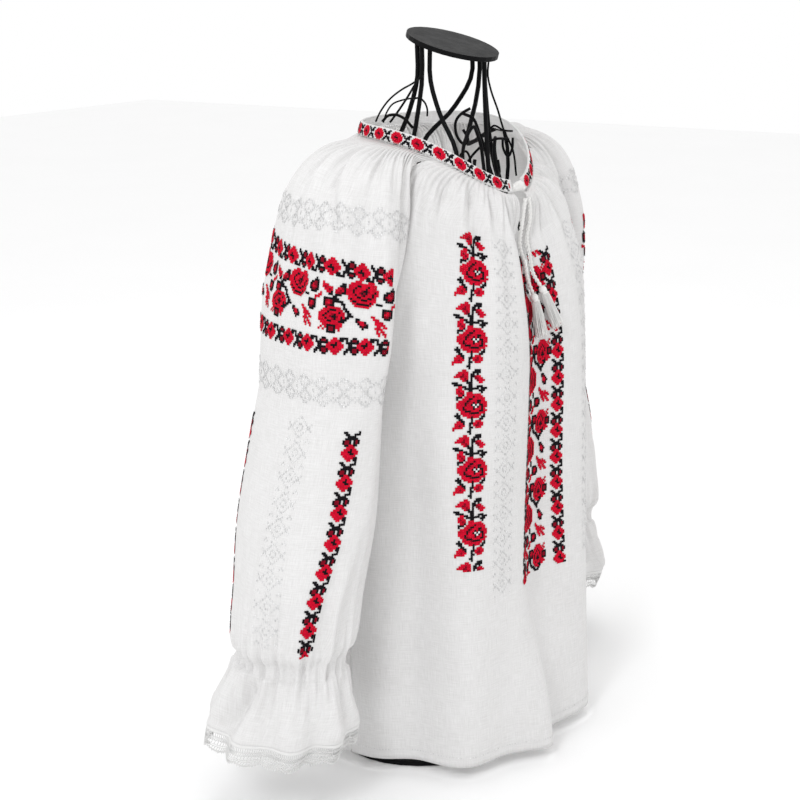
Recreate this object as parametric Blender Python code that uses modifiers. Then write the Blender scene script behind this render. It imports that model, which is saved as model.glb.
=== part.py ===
"""A Romanian ie blouse worn by a wire dress form, at its real size.

Metres, +Z up. The wearer faces -Y, and +X is the wearer's left. The form's flat
foot ring stands at z = 0. The blouse is cut as the real one is: a front with a
centre slit, a back, and two sleeves, all gathered into one narrow neck band.
Each piece of cloth is worked out on a grid: across runs from seam to seam and
fall runs down from the neck, and its folds are added along the normals.
"""

import math

import bmesh
import bpy
import numpy as np
from mathutils import Vector

# Cloth
CLOTH = 0.0015
BAND_CLOTH = 0.0022
SEAM_GAP = 0.0004

# Neckline: an oval that dips at the front
NECK_HALF_WIDTH = 0.097
NECK_HALF_DEPTH = 0.090
NECK_CENTRE_Y = -0.009
NECK_BACK_Z = 0.676
NECK_FRONT_DROP = 0.059
NECK_DROP_POWER = 4.0
FRONT_SEAM_ANGLE = math.radians(62)
BACK_SEAM_ANGLE = math.radians(132)
BAND_HEIGHT = 0.013
BAND_LEAN = 0.004

# Slit, from the neckline down the middle of the front
SLIT_END_FALL = 0.66
SLIT_HALF_WIDTH = 0.011
SLIT_REACH = 0.35

# Body below the armpit, a ring at each height
ARMPIT_Z = 0.435
HEM_Z = 0.014
BODY_COLUMNS = ("height", "half_width", "front_reach", "back_reach")
BODY_CENTRE_Y = 0.012
BODY = np.array(
    (
        (HEM_Z, 0.165, 0.176, 0.116),
        (0.100, 0.163, 0.175, 0.115),
        (0.200, 0.161, 0.173, 0.114),
        (0.300, 0.160, 0.173, 0.113),
        (0.380, 0.160, 0.175, 0.112),
        (ARMPIT_Z, 0.160, 0.176, 0.110),
    )
)

# Sleeve below the armpit, drawn in at the wrist, then the frill and its lace
WRIST_Z = 0.160
FRILL_END_Z = 0.096
LACE_END_Z = 0.072
SLEEVE_COLUMNS = ("height", "centre_x", "centre_y", "half_width", "half_depth")
SLEEVE = np.array(
    (
        (LACE_END_Z, 0.2700, 0.028, 0.0690, 0.076),
        (FRILL_END_Z, 0.2725, 0.022, 0.0640, 0.078),
        (0.125, 0.2710, 0.018, 0.0550, 0.071),
        (0.147, 0.2680, 0.016, 0.0480, 0.064),
        (WRIST_Z, 0.2660, 0.015, 0.0440, 0.060),
        (0.178, 0.2620, 0.013, 0.0530, 0.063),
        (0.235, 0.2500, 0.011, 0.0610, 0.067),
        (0.300, 0.2330, 0.011, 0.0580, 0.075),
        (0.370, 0.2150, 0.012, 0.0490, 0.075),
        (ARMPIT_Z, 0.2015, 0.012, 0.0395, 0.073),
    )
)
LACE_SCALLOPS = 20
SCALLOP_DEPTH = 0.004

# Shoulders and raglan seams
FRONT_BOW = 0.040
BACK_BOW = 0.046
SIDE_SLOPE = 0.27
CHEST_SLOPE = 0.62
SIDE_ROUNDNESS = 0.45
CHEST_ROUNDNESS = 0.80
SEAM_SPREAD = 0.0019

# Gathers and folds: how many there are, and how deep
FRONT_GATHERS = 24
BACK_GATHERS = 24
SLEEVE_GATHERS = 12
WRIST_GATHERS = 24
FRILL_FLUTES = 9
NECK_GATHER_DEPTH = 0.0035
NECK_FOLD_DEPTH = 0.0060
WRIST_GATHER_DEPTH = 0.0040
FRILL_FLUTE_DEPTH = 0.013
SLEEVE_RIDGE_DEPTH = 0.012

# Long folds: where each stands across, how wide it is on either side, how deep
# it is, and between which falls it grows
FOLD_COLUMNS = ("across", "before", "after", "depth", "starts", "full")
FRONT_FOLDS = (
    (-0.04, 0.18, 0.26, -0.037, 0.00, 0.28),
    (-0.04, 0.18, 0.26, -0.005, 0.30, 0.60),
    (-0.04, 0.18, 0.26, 0.042, 1.50, 2.00),
    (-0.12, 0.07, 0.05, 0.010, 1.50, 2.00),
    (0.00, 0.10, 0.20, -0.024, 1.50, 2.00),
    (-0.34, 0.14, 0.12, -0.007, 0.60, 1.60),
    (-0.52, 0.12, 0.12, 0.011, 0.90, 1.70),
    (-0.74, 0.12, 0.10, -0.010, 0.60, 1.40),
    (0.34, 0.14, 0.14, 0.009, 0.80, 1.70),
    (0.56, 0.12, 0.10, -0.008, 0.70, 1.60),
    (0.76, 0.12, 0.12, 0.010, 0.80, 1.60),
)
BACK_FOLDS = (
    (-0.72, 0.12, 0.14, 0.011, 0.70, 1.60),
    (-0.46, 0.12, 0.12, -0.007, 0.60, 1.50),
    (-0.20, 0.14, 0.12, 0.012, 0.60, 1.70),
    (0.06, 0.12, 0.12, -0.008, 0.50, 1.40),
    (0.30, 0.12, 0.14, 0.011, 0.80, 1.70),
    (0.54, 0.12, 0.12, -0.006, 0.60, 1.60),
    (0.76, 0.12, 0.12, 0.009, 0.70, 1.50),
)

# Grids: groups of rows by the fall of the first and last, how many, and columns
ROW_COLUMNS = ("first", "last", "rows", "columns")
BODY_ROWS = ((0.00, 0.32, 4, 48), (0.44, 1.00, 6, 24), (1.17, 2.00, 5, 24))
SLEEVE_ROWS = (
    (0.00, 0.06, 2, 24),
    (0.14, 1.00, 7, 24),
    (1.24, 1.50, 2, 24),
    (1.72, 2.00, 3, 48),
    (2.14, 2.34, 2, 48),
    (2.66, 3.00, 2, 48),
)
LACE_ROWS = ((3.02, 4.00, 3, 80),)
BAND_COLUMNS = 60

# Ties: two twisted cords, knotted at the slit, with a tassel each. A row gives a
# place on the front and how far the tie stands off it; the last is the tassel's tip.
TIE_RADIUS = 0.0022
KNOT_SIZE = (0.0220, 0.0085, 0.0100)
TIE_COLUMNS = ("across", "fall", "stand_off")
TIE_RIGHT = (
    (-0.030, 0.04, 0.0024),
    (-0.036, 0.15, 0.0006),
    (-0.036, 0.27, 0.0030),
    (-0.036, 0.39, 0.0016),
    (-0.050, 0.51, 0.0031),
    (-0.072, 0.60, 0.0069),
    (-0.040, 0.84, 0.0105),
)
TIE_LEFT = (
    (0.030, 0.04, 0.0024),
    (0.060, 0.13, 0.0000),
    (0.060, 0.25, 0.0006),
    (0.044, 0.37, -0.0006),
    (0.036, 0.48, 0.0004),
    (0.056, 0.57, 0.0052),
    (0.104, 0.81, 0.0098),
)
TIE_POINTS = 16
TASSEL_SIDES = 12
TASSEL_HEAD_RADIUS = 0.0042
TASSEL_HEAD_HEIGHT = 0.009
TASSEL_STEPS = 2
TASSEL_SPREAD = 1.25
STRAND_PARTING = 0.0003

# Wire form: its outline at each height, and the wires that follow it
WIRE = 0.0025
THIN_WIRE = 0.0019
WIRE_RESOLUTION = 1
CORD_RESOLUTION = 2
JOIN_GAP = 0.0003
FOOT_HEIGHT = 0.005
FOOT_WIDTH = 0.014
FOOT_POINTS = 40
CAP_RADIUS = 0.050
CAP_THICKNESS = 0.005
CAP_TILT = math.radians(17)
CAP_CENTRE = (0.0, -0.018, 0.768)
FORM_COLUMNS = ("height", "half_width", "front_reach", "back_reach")
FORM = np.array(
    (
        (0.000, 0.140, 0.112, 0.098),
        (0.080, 0.140, 0.112, 0.098),
        (0.160, 0.132, 0.104, 0.090),
        (0.250, 0.118, 0.092, 0.080),
        (0.340, 0.130, 0.104, 0.084),
        (0.430, 0.140, 0.114, 0.086),
        (0.500, 0.136, 0.104, 0.086),
        (0.560, 0.112, 0.084, 0.078),
        (0.610, 0.078, 0.068, 0.062),
        (0.660, 0.056, 0.062, 0.044),
    )
)
HOOP_COLUMNS = ("height", "gap")
HOOPS = {"hoop_chest": (0.430, 0.0005), "hoop_waist": (0.250, -0.0006)}
HOOP_POINTS = 28
UPRIGHT_COLUMNS = ("angle", "top_x", "top_y")
UPRIGHTS = {
    "upright_front_right": (-42, -0.034, -0.012),
    "upright_front": (-2, 0.028, -0.040),
    "upright_front_left": (52, 0.035, -0.036),
    "upright_back_left": (150, 0.037, -0.019),
    "upright_back_right": (210, -0.034, 0.004),
}
UPRIGHT_POINTS = 20
SHOULDER_TOPS = {"right": (-0.037, -0.004), "left": (0.038, -0.028)}
SHOULDER_FALLS = (0.06, 0.03)
SHOULDER_CLEARANCE = 0.0012
SHOULDER_BEND = ((0.136, 0.0, 0.560), (0.143, 0.0, 0.600), (0.1460, 0.0, 0.634))
SHOULDER_POINTS = 44
NECK_FOOT_Z = 0.660
NECK_LOW_Z = 0.700
NECK_HIGH_Z = 0.735
SCROLL_COLUMNS = ("angle", "height")
SCROLLS = {
    "scroll_right": (
        (-5.3, 0.600),
        (-9.0, 0.640),
        (-15.0, 0.672),
        (-23.0, 0.686),
        (-31.0, 0.676),
        (-35.0, 0.655),
        (-31.0, 0.638),
        (-24.0, 0.640),
        (-21.0, 0.652),
    ),
    "scroll_left": (
        (48.5, 0.600),
        (45.5, 0.632),
        (38.0, 0.660),
        (28.0, 0.670),
        (18.0, 0.660),
        (14.0, 0.645),
        (18.0, 0.632),
        (26.0, 0.634),
        (29.0, 0.646),
    ),
}
SCROLL_POINTS = 18

# The model is moved so that the middle of its box stands on the Z axis
MIDDLE_Y = 0.0136


def through(x, rows, column):
    """A smooth curve through one column of a table, read at the heights x."""
    heights, values = rows[:, 0], rows[:, column]
    slopes = np.gradient(values, heights)
    x = np.clip(x, heights[0], heights[-1])
    i = np.clip(np.searchsorted(heights, x) - 1, 0, len(heights) - 2)
    step = heights[i + 1] - heights[i]
    f = (x - heights[i]) / step
    return (
        (2 * f**3 - 3 * f**2 + 1) * values[i]
        + (f**3 - 2 * f**2 + f) * step * slopes[i]
        + (3 * f**2 - 2 * f**3) * values[i + 1]
        + (f**3 - f**2) * step * slopes[i + 1]
    )


def smooth_route(route, count):
    """Evenly spaced points on a smooth curve through the points of a route."""
    route = np.array(route)
    lengths = np.linalg.norm(np.diff(route, axis=0), axis=1)
    table = np.column_stack([np.concatenate([[0.0], np.cumsum(lengths)]), route])
    where = np.linspace(0, table[-1, 0], count)
    return np.stack([through(where, table, column) for column in (1, 2, 3)], -1)


def ease(x, start, end):
    """0 before start, 1 after end, and smooth between them."""
    f = np.clip((x - start) / (end - start), 0, 1)
    return f * f * (3 - 2 * f)


def bump(x, centre, before, after):
    """A soft ridge that is 1 at its centre, with its own width on each side."""
    width = np.where(x < centre, before, after)
    return np.exp(-(((x - centre) / width) ** 2))


def pleat(across, count):
    """Gathers: 0 in each valley and 1 on each ridge."""
    return 0.5 - 0.5 * np.cos(math.pi * (across + 1) * count)


def uneven(across, seed):
    """A slow change between 0.55 and 1, so that no two folds are alike."""
    turn = math.pi * across
    return 0.775 + 0.225 * np.sin(3 * turn + seed) * np.cos(2 * turn - seed)


def neck_point(angle):
    """The neckline. The angle is 0 at the front and grows towards the wearer's left."""
    x = NECK_HALF_WIDTH * np.sin(angle)
    y = NECK_CENTRE_Y - NECK_HALF_DEPTH * np.cos(angle)
    dip = ((1 + np.cos(angle)) / 2) ** NECK_DROP_POWER
    return np.stack([x, y, NECK_BACK_Z - NECK_FRONT_DROP * dip], -1)


def oval(table, angle, height):
    """An outline whose front and back reach differ, at an angle from the front."""
    facing = np.cos(angle) > 0
    reach = np.where(facing, through(height, table, 2), through(height, table, 3))
    x = through(height, table, 1) * np.sin(angle)
    return np.stack([x, -reach * np.cos(angle), height + 0 * x], -1)


def sleeve_ring(angle, height):
    """The left sleeve's outline. The angle is 0 outside and grows towards the back."""
    x = through(height, SLEEVE, 1) + through(height, SLEEVE, 3) * np.cos(angle)
    y = through(height, SLEEVE, 2) + through(height, SLEEVE, 4) * np.sin(angle)
    return np.stack([x, y, height + 0 * x], -1)


def over_shoulder(neck, armpit, neck_angle, fall):
    """From the neckline over the chest or shoulder, where fall goes from 0 to 1."""
    chest = np.cos(neck_angle) ** 2
    slope = SIDE_SLOPE + (CHEST_SLOPE - SIDE_SLOPE) * chest
    roundness = SIDE_ROUNDNESS + (CHEST_ROUNDNESS - SIDE_ROUNDNESS) * chest
    out = np.sin(fall * math.pi / 2) ** roundness
    down = (1 - slope) * (1 - np.cos(fall * math.pi / 2)) + slope * fall
    return neck + (armpit - neck) * np.stack([out, out, down], -1)


def seam_bow(fall):
    """How far the raglan seam swings out between the neck and the armpit."""
    return (4 * fall * (1 - fall)) ** 1.5


def body_base(across, fall, turned, seam, reach_column, bow):
    """The front or the back without folds, from one side seam to the other."""
    across, fall = np.broadcast_arrays(across, fall)
    top = np.clip(fall, 0, 1)
    height = ARMPIT_Z + (HEM_Z - ARMPIT_Z) * np.clip(fall - 1, 0, 1)
    reach = through(height, BODY, reach_column)
    neck_angle = turned + across * (seam - SEAM_SPREAD / 2 / NECK_HALF_WIDTH)
    angle = turned + across * (math.pi / 2 - SEAM_GAP / 2 / reach)
    ring = oval(BODY, angle, height) + np.array([0, BODY_CENTRE_Y, 0])
    surface = over_shoulder(neck_point(neck_angle), ring, neck_angle, top)
    surface[..., 1] += bow * seam_bow(top) * np.abs(across) ** 3
    return surface


def front_base(across, fall):
    return body_base(across, fall, 0.0, FRONT_SEAM_ANGLE, 2, -FRONT_BOW)


def back_base(across, fall):
    return body_base(across, fall, math.pi, math.pi - BACK_SEAM_ANGLE, 3, BACK_BOW)


def sleeve_base(across, fall):
    """The left sleeve, frill and lace, from the front seam round to the back one."""
    across, fall = np.broadcast_arrays(across, fall)
    top = np.clip(fall, 0, 1)
    stops = (ARMPIT_Z, WRIST_Z, FRILL_END_Z, LACE_END_Z)
    height = np.interp(fall, (1, 2, 3, 4), stops)
    middle = (FRONT_SEAM_ANGLE + BACK_SEAM_ANGLE) / 2
    half = (BACK_SEAM_ANGLE - FRONT_SEAM_ANGLE) / 2 - SEAM_SPREAD / 2 / NECK_HALF_WIDTH
    neck_angle = middle + across * half
    ring = sleeve_ring(across * math.pi, height)
    surface = over_shoulder(neck_point(neck_angle), ring, neck_angle, top)
    front = np.clip(-across, 0, 1) ** 2
    back = np.clip(across, 0, 1) ** 2
    spread = SEAM_SPREAD * ease(top, 0, 0.2) * (1 - ease(top, 0.9, 1))
    surface[..., 0] += spread * (front + back)
    surface[..., 1] += seam_bow(top) * (BACK_BOW * back - FRONT_BOW * front)
    return surface


def normals(base, across, fall, step=0.004):
    """Unit normals of a surface, pointing out of the garment."""
    down = base(across, fall + step) - base(across, fall - step)
    along = base(across + step, fall) - base(across - step, fall)
    normal = np.cross(down, along)
    return normal / np.linalg.norm(normal, axis=-1, keepdims=True)


def raised(base, depth, across, fall):
    """A surface moved out along its normals."""
    return base(across, fall) + depth[..., None] * normals(base, across, fall)


def neck_gathers(across, fall, count):
    """Fine gathers at the band, which run together in pairs as they fall."""
    fine = ease(fall, 0.0, 0.12) * (1 - ease(fall, 0.18, 0.44))
    wide = ease(fall, 0.10, 0.40) * (1 - ease(fall, 0.50, 1.05))
    return (
        NECK_GATHER_DEPTH * fine * pleat(across, count) * uneven(across, 1.0)
        + NECK_FOLD_DEPTH * wide * pleat(across, count / 2) * uneven(across, 2.5)
    )


def long_folds(across, fall, table):
    depth = 0 * across
    for centre, before, after, height, starts, full in table:
        depth = depth + height * bump(across, centre, before, after) * ease(
            fall, starts, full
        )
    return depth


def away_from_seams(across):
    return 1 - ease(np.abs(across), 0.84, 1.0)


def front(across, fall):
    gathers = neck_gathers(across, fall, FRONT_GATHERS)
    depth = (gathers + long_folds(across, fall, FRONT_FOLDS)) * away_from_seams(across)
    return raised(front_base, depth, across, fall)


def front_calm(across, fall):
    """The front with its long folds and without its gathers."""
    return raised(front_base, long_folds(across, fall, FRONT_FOLDS), across, fall)


def back(across, fall):
    gathers = neck_gathers(across, fall, BACK_GATHERS)
    depth = (gathers + long_folds(across, fall, BACK_FOLDS)) * away_from_seams(across)
    return raised(back_base, depth, across, fall)


def sleeve(across, fall):
    neck = neck_gathers(across, fall, SLEEVE_GATHERS) * away_from_seams(across)
    near_wrist = bump(fall, 2.0, 0.26, 0.42)
    wrist = WRIST_GATHER_DEPTH * near_wrist * pleat(across, WRIST_GATHERS)
    crest = ease(fall, 0.2, 0.5) * (1 - ease(fall, 0.7, 1.2))
    ridge = SLEEVE_RIDGE_DEPTH * bump(across, -0.12, 0.10, 0.16) * crest
    fluted = FRILL_FLUTE_DEPTH * ease(fall, 2.1, 3.3) * uneven(across, 0.6)
    flutes = fluted * (pleat(across, FRILL_FLUTES) - 0.35)
    return raised(sleeve_base, neck + wrist + ridge + flutes, across, fall)


def lace(across, fall):
    surface = sleeve(across, fall)
    between = 1 - np.abs(np.cos(math.pi * (across + 1) / 2 * LACE_SCALLOPS))
    surface[..., 2] += SCALLOP_DEPTH * between * ease(fall, 3.5, 4.0)
    return surface


def clear_scene():
    for thing in list(bpy.data.objects):
        bpy.data.objects.remove(thing)


def collection(name):
    made = bpy.data.collections.new(name)
    bpy.context.scene.collection.children.link(made)
    return made


def finish(name, colour, roughness, metallic=0.0):
    made = bpy.data.materials.new(name)
    made.use_nodes = True
    shader = made.node_tree.nodes["Principled BSDF"]
    shader.inputs["Base Color"].default_value = (*colour, 1)
    shader.inputs["Roughness"].default_value = roughness
    shader.inputs["Metallic"].default_value = metallic
    return made


def add_object(name, data, material, home):
    thing = bpy.data.objects.new(name, data)
    data.materials.append(material)
    home.objects.link(thing)
    return thing


def shaped_object(name, shape, material, home):
    """An object from a bmesh, which is then freed."""
    mesh = bpy.data.meshes.new(name)
    shape.to_mesh(mesh)
    shape.free()
    return add_object(name, mesh, material, home)


def walled(name, points, faces, thickness, material, home):
    """An open surface with a wall built on both sides of it."""
    mesh = bpy.data.meshes.new(name)
    mesh.from_pydata([tuple(point) for point in points], [], faces)
    mesh.update()
    thing = add_object(name, mesh, material, home)
    wall = thing.modifiers.new("wall", "SOLIDIFY")
    wall.thickness = thickness
    wall.offset = 0
    return thing


def faces_between(upper, lower):
    """Quads between two rows of points, or triangles where one has twice the columns."""
    faces = []
    if len(upper) == len(lower):
        for i in range(len(upper) - 1):
            faces.append((upper[i], lower[i], lower[i + 1], upper[i + 1]))
    elif len(upper) < len(lower):
        for i in range(len(upper) - 1):
            a, b = upper[i : i + 2]
            c, d, e = lower[2 * i : 2 * i + 3]
            faces += [(a, c, d), (a, d, b), (b, d, e)]
    else:
        for i in range(len(lower) - 1):
            a, b = lower[i : i + 2]
            c, d, e = upper[2 * i : 2 * i + 3]
            faces += [(c, a, d), (d, a, b), (d, b, e)]
    return faces


def grid_rows(groups):
    """Each row's fall with its number of columns."""
    for first, last, rows, columns in groups:
        for fall in np.linspace(first, last, rows):
            yield fall, columns


def cloth(name, surface, groups, material, home, side=1, ring_from=9.0, slit=False):
    """One piece of cloth: a grid over its surface, with a wall on both sides.

    side is -1 for the mirrored piece on the wearer's right, ring_from is the fall
    from which the piece closes into a tube, and slit parts the middle column.
    """
    points, grid = [], []
    for fall, columns in grid_rows(groups):
        across = np.linspace(-1, 1, columns + 1)
        row = surface(across, np.full(columns + 1, fall))
        middle = columns // 2
        numbers = list(range(len(points), len(points) + columns + 1))
        if fall >= ring_from - 1e-9:
            numbers[-1] = numbers[0]
            row = row[:-1]
        lefts, rights = numbers[: middle + 1], numbers[middle:]
        points.extend(row)
        if slit and fall < SLIT_END_FALL - 1e-9:
            opened = SLIT_HALF_WIDTH * (1 - fall / SLIT_END_FALL) ** 0.7 + SEAM_GAP
            pull = opened * np.clip(1 - np.abs(across) / SLIT_REACH, 0, 1)
            pull[: middle + 1] *= -1
            for number, shift in zip(numbers, pull):
                points[number] = points[number] + np.array([shift, 0, 0])
            rights = [len(points), *rights[1:]]
            points.append(row[middle] + np.array([opened, 0, 0]))
        grid.append((lefts, rights))
    faces = []
    for upper, lower in zip(grid, grid[1:]):
        faces += faces_between(upper[0], lower[0])
        faces += faces_between(upper[1], lower[1])
    points = [point * np.array([side, 1, 1]) for point in points]
    if side < 0:
        faces = [face[::-1] for face in faces]
    return walled(name, points, faces, CLOTH, material, home)


def make_neck_band(material, home):
    """A narrow standing strip that lies on the gathered edges and stops at the slit."""
    opening = (SLIT_HALF_WIDTH + SEAM_GAP) / NECK_HALF_WIDTH
    angle = np.linspace(opening, 2 * math.pi - opening, BAND_COLUMNS + 1)
    lower = neck_point(angle) + np.array([0, 0, CLOTH / 2 + SEAM_GAP])
    inward = np.stack([-np.sin(angle), np.cos(angle), 0 * angle], -1)
    upper = lower + inward * BAND_LEAN + np.array([0, 0, BAND_HEIGHT])
    count = BAND_COLUMNS + 1
    faces = faces_between(list(range(count)), list(range(count, 2 * count)))
    return walled("neck_band", [*upper, *lower], faces, BAND_CLOTH, material, home)


def make_knot(material, home):
    """A small rounded knot that fills the slit between the ends of the band."""
    shape = bmesh.new()
    bmesh.ops.create_uvsphere(shape, u_segments=12, v_segments=8, radius=0.5)
    bmesh.ops.scale(shape, vec=KNOT_SIZE, verts=shape.verts)
    middle = neck_point(0.0) + np.array([0, 0, BAND_HEIGHT / 2 + CLOTH / 2 + SEAM_GAP])
    bmesh.ops.translate(shape, vec=Vector(middle), verts=shape.verts)
    return shaped_object("tie_knot", shape, material, home)


def tube(name, points, radius, resolution, material, home, closed=False):
    """A wire or cord along a list of points, with filled ends."""
    curve = bpy.data.curves.new(name, "CURVE")
    curve.dimensions = "3D"
    curve.bevel_depth = radius
    curve.bevel_resolution = resolution
    curve.use_fill_caps = not closed
    spline = curve.splines.new("POLY")
    spline.points.add(len(points) - 1)
    for spot, point in zip(spline.points, points):
        spot.co = (*point, 1)
    spline.use_cyclic_u = closed
    return add_object(name, curve, material, home)


def on_front(table):
    """Places on the front, each with its own distance from the cloth."""
    stops = np.array(table)
    across, fall = stops[:, 0], stops[:, 1]
    stand_off = stops[:, 2] + CLOTH / 2 + TIE_RADIUS
    return raised(front_calm, stand_off, across, fall)


def make_tie_and_tassel(word, table, material, home):
    """A cord from under the knot, and the tassel that it ends in."""
    *route, tip = on_front(table)
    points = smooth_route(route, TIE_POINTS)
    tube(f"tie_cord_{word}", points, TIE_RADIUS, CORD_RESOLUTION, material, home)

    axis = Vector(points[-1] - points[-2]).normalized()
    sideways = axis.cross(Vector((0, 1, 0))).normalized()
    forward = axis.cross(sideways)
    top = Vector(points[-1]) + axis * JOIN_GAP

    def ring(shape, down, radius):
        verts = []
        for i in range(TASSEL_SIDES):
            turn = 2 * math.pi * i / TASSEL_SIDES
            spoke = math.cos(turn) * sideways + math.sin(turn) * forward
            verts.append(shape.verts.new(top + axis * down + spoke * radius))
        return verts

    shape = bmesh.new()
    low = TASSEL_HEAD_HEIGHT
    profile = ((0, 0.55), (0.3 * low, 1.0), (0.7 * low, 0.9), (low, 1.15))
    rings = [ring(shape, down, TASSEL_HEAD_RADIUS * wide) for down, wide in profile]
    rings += [ring(shape, low, TASSEL_HEAD_RADIUS * wide) for wide in (0.72, 0.25)]
    roots = []
    for number, (upper, lower) in enumerate(zip(rings, rings[1:])):
        for i in range(TASSEL_SIDES):
            k = (i + 1) % TASSEL_SIDES
            face = shape.faces.new((upper[i], upper[k], lower[k], lower[i]))
            if number >= len(profile) - 1:
                roots.append(face)
    shape.faces.new(rings[0][::-1])
    shape.faces.new(rings[-1])
    bmesh.ops.recalc_face_normals(shape, faces=shape.faces)

    # Each strand is drawn out of its own small face under the head.
    bmesh.ops.inset_individual(shape, faces=roots, thickness=STRAND_PARTING)
    root = top + axis * low
    way = (Vector(tip) - root) / TASSEL_STEPS
    for step in range(TASSEL_STEPS):
        roots = bmesh.ops.extrude_discrete_faces(shape, faces=roots)["faces"]
        for number, face in enumerate(roots):
            spoke = face.calc_center_median() - (root + way * step)
            length = 0.90 + 0.10 * math.sin(number * 2.4)
            shift = way * length + spoke * (TASSEL_SPREAD - 1)
            bmesh.ops.translate(shape, vec=shift, verts=face.verts)
    shaped_object(f"tassel_{word}", shape, material, home)


def form_point(angle, height):
    return oval(FORM, np.radians(angle), np.array(height))


def neck_route(foot, x, y):
    """From a wire's place on the form up to its end under the tilted cap."""
    slant = math.tan(CAP_TILT) * (y - CAP_CENTRE[1])
    below = CAP_THICKNESS / 2 / math.cos(CAP_TILT) + WIRE * math.tan(CAP_TILT)
    cap_z = CAP_CENTRE[2] + slant - below - JOIN_GAP
    low = foot + (np.array([x, y, NECK_LOW_Z]) - foot) * 0.65
    low[2] = NECK_LOW_Z
    return [low, np.array([x, y, NECK_HIGH_Z]), np.array([x, y, cap_z])]


def make_upright(name, angle, top_x, top_y, material, home):
    """A wire from the foot ring, up the form and in to the cap."""
    heights = [*np.linspace(FOOT_HEIGHT + JOIN_GAP, 0.50, 8), 0.56, 0.61, 0.66]
    route = [form_point(angle, height) for height in heights]
    route += neck_route(route[-1], top_x, top_y)
    points = smooth_route(route, UPRIGHT_POINTS)
    tube(name, points, WIRE, WIRE_RESOLUTION, material, home)


def make_shoulder_wire(word, side, material, home):
    """A wire up the side, along under the shoulder, which carries the cloth, to the cap."""
    heights = np.linspace(FOOT_HEIGHT + JOIN_GAP, 0.50, 12)
    route = [form_point(90, height) for height in heights]
    route += [np.array(point) for point in SHOULDER_BEND]
    falls = np.array(SHOULDER_FALLS)
    normal = normals(sleeve_base, 0 * falls, falls)
    depth = CLOTH / 2 + SHOULDER_CLEARANCE + WIRE
    route += list(sleeve_base(0 * falls, falls) - depth * normal)
    route.append(form_point(90, NECK_FOOT_Z))
    route = [point * np.array([side, 1, 1]) for point in route]
    route += neck_route(route[-1], *SHOULDER_TOPS[word])
    points = smooth_route(route, SHOULDER_POINTS)
    tube(f"upright_side_{word}", points, WIRE, WIRE_RESOLUTION, material, home)


def make_hoop(name, height, gap, material, home):
    """A hoop that lies against the uprights from inside."""
    turn = np.linspace(0, 2 * math.pi, HOOP_POINTS, endpoint=False)
    heights = np.full(HOOP_POINTS, height)
    ring = oval(FORM, turn, heights)
    along = oval(FORM, turn + 0.01, heights) - ring
    inward = np.stack([-along[:, 1], along[:, 0], 0 * turn], -1)
    inward /= np.linalg.norm(inward, axis=1, keepdims=True)
    points = ring + inward * (WIRE + THIN_WIRE + gap)
    tube(name, points, THIN_WIRE, WIRE_RESOLUTION, material, home, closed=True)


def make_scroll(name, table, material, home):
    """A curled wire that decorates the neck."""
    route = [form_point(angle, height) for angle, height in table]
    points = smooth_route(route, SCROLL_POINTS)
    tube(name, points, THIN_WIRE, WIRE_RESOLUTION, material, home)


def make_foot(material, home):
    """A flat ring of bar that the form stands on."""
    curve = bpy.data.curves.new("foot_ring", "CURVE")
    curve.dimensions = "2D"
    curve.fill_mode = "BOTH"
    curve.extrude = FOOT_HEIGHT / 2
    turn = np.linspace(0, 2 * math.pi, FOOT_POINTS, endpoint=False)
    middle = oval(FORM, turn, np.zeros(FOOT_POINTS))
    radius = np.linalg.norm(middle, axis=1, keepdims=True)
    for reach in (FOOT_WIDTH / 2, -FOOT_WIDTH / 2):
        spline = curve.splines.new("POLY")
        spline.points.add(FOOT_POINTS - 1)
        for spot, point in zip(spline.points, middle * (1 + reach / radius)):
            spot.co = (*point, 1)
        spline.use_cyclic_u = True
    foot = add_object("foot_ring", curve, material, home)
    foot.location = (0, 0, FOOT_HEIGHT / 2)


def make_cap(material, home):
    """The flat plate on top of the neck, tilted down to the front."""
    shape = bmesh.new()
    bmesh.ops.create_cone(
        shape,
        cap_ends=True,
        segments=32,
        radius1=CAP_RADIUS,
        radius2=CAP_RADIUS,
        depth=CAP_THICKNESS,
    )
    cap = shaped_object("neck_cap", shape, material, home)
    cap.location = CAP_CENTRE
    cap.rotation_euler = (CAP_TILT, 0, 0)


def main():
    clear_scene()
    home = collection("ie blouse")
    cotton = finish("white cotton", (0.80, 0.78, 0.74), 0.85)
    edging = finish("cotton lace", (0.86, 0.85, 0.82), 0.85)
    thread = finish("white thread", (0.84, 0.82, 0.78), 0.75)
    wire = finish("black wire", (0.015, 0.015, 0.016), 0.45, 0.6)

    cloth("front", front, BODY_ROWS, cotton, home, slit=True)
    cloth("back", back, BODY_ROWS, cotton, home)
    for word, side in (("right", -1), ("left", 1)):
        cloth(f"sleeve_{word}", sleeve, SLEEVE_ROWS, cotton, home, side, ring_from=1)
        cloth(f"lace_{word}", lace, LACE_ROWS, edging, home, side, ring_from=1)
    make_neck_band(cotton, home)
    make_knot(thread, home)
    make_tie_and_tassel("right", TIE_RIGHT, thread, home)
    make_tie_and_tassel("left", TIE_LEFT, thread, home)

    make_foot(wire, home)
    make_cap(wire, home)
    for name, row in UPRIGHTS.items():
        make_upright(name, *row, wire, home)
    for word, side in (("right", -1), ("left", 1)):
        make_shoulder_wire(word, side, wire, home)
    for name, row in HOOPS.items():
        make_hoop(name, *row, wire, home)
    for name, table in SCROLLS.items():
        make_scroll(name, table, wire, home)

    for thing in home.objects:
        thing.location.y += MIDDLE_Y


main()
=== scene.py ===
"""The looks of a Romanian ie blouse worn by a wire dress form.

Metres, +Z up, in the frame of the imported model: the wearer faces -Y, and +X is the
wearer's left. The sections follow the object as it is put together: the wire form
first, then the front, the back, the sleeves, the lace, the neck band, the ties and
the embroidery, and last the floor, the lights and the camera.
"""

import math

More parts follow.
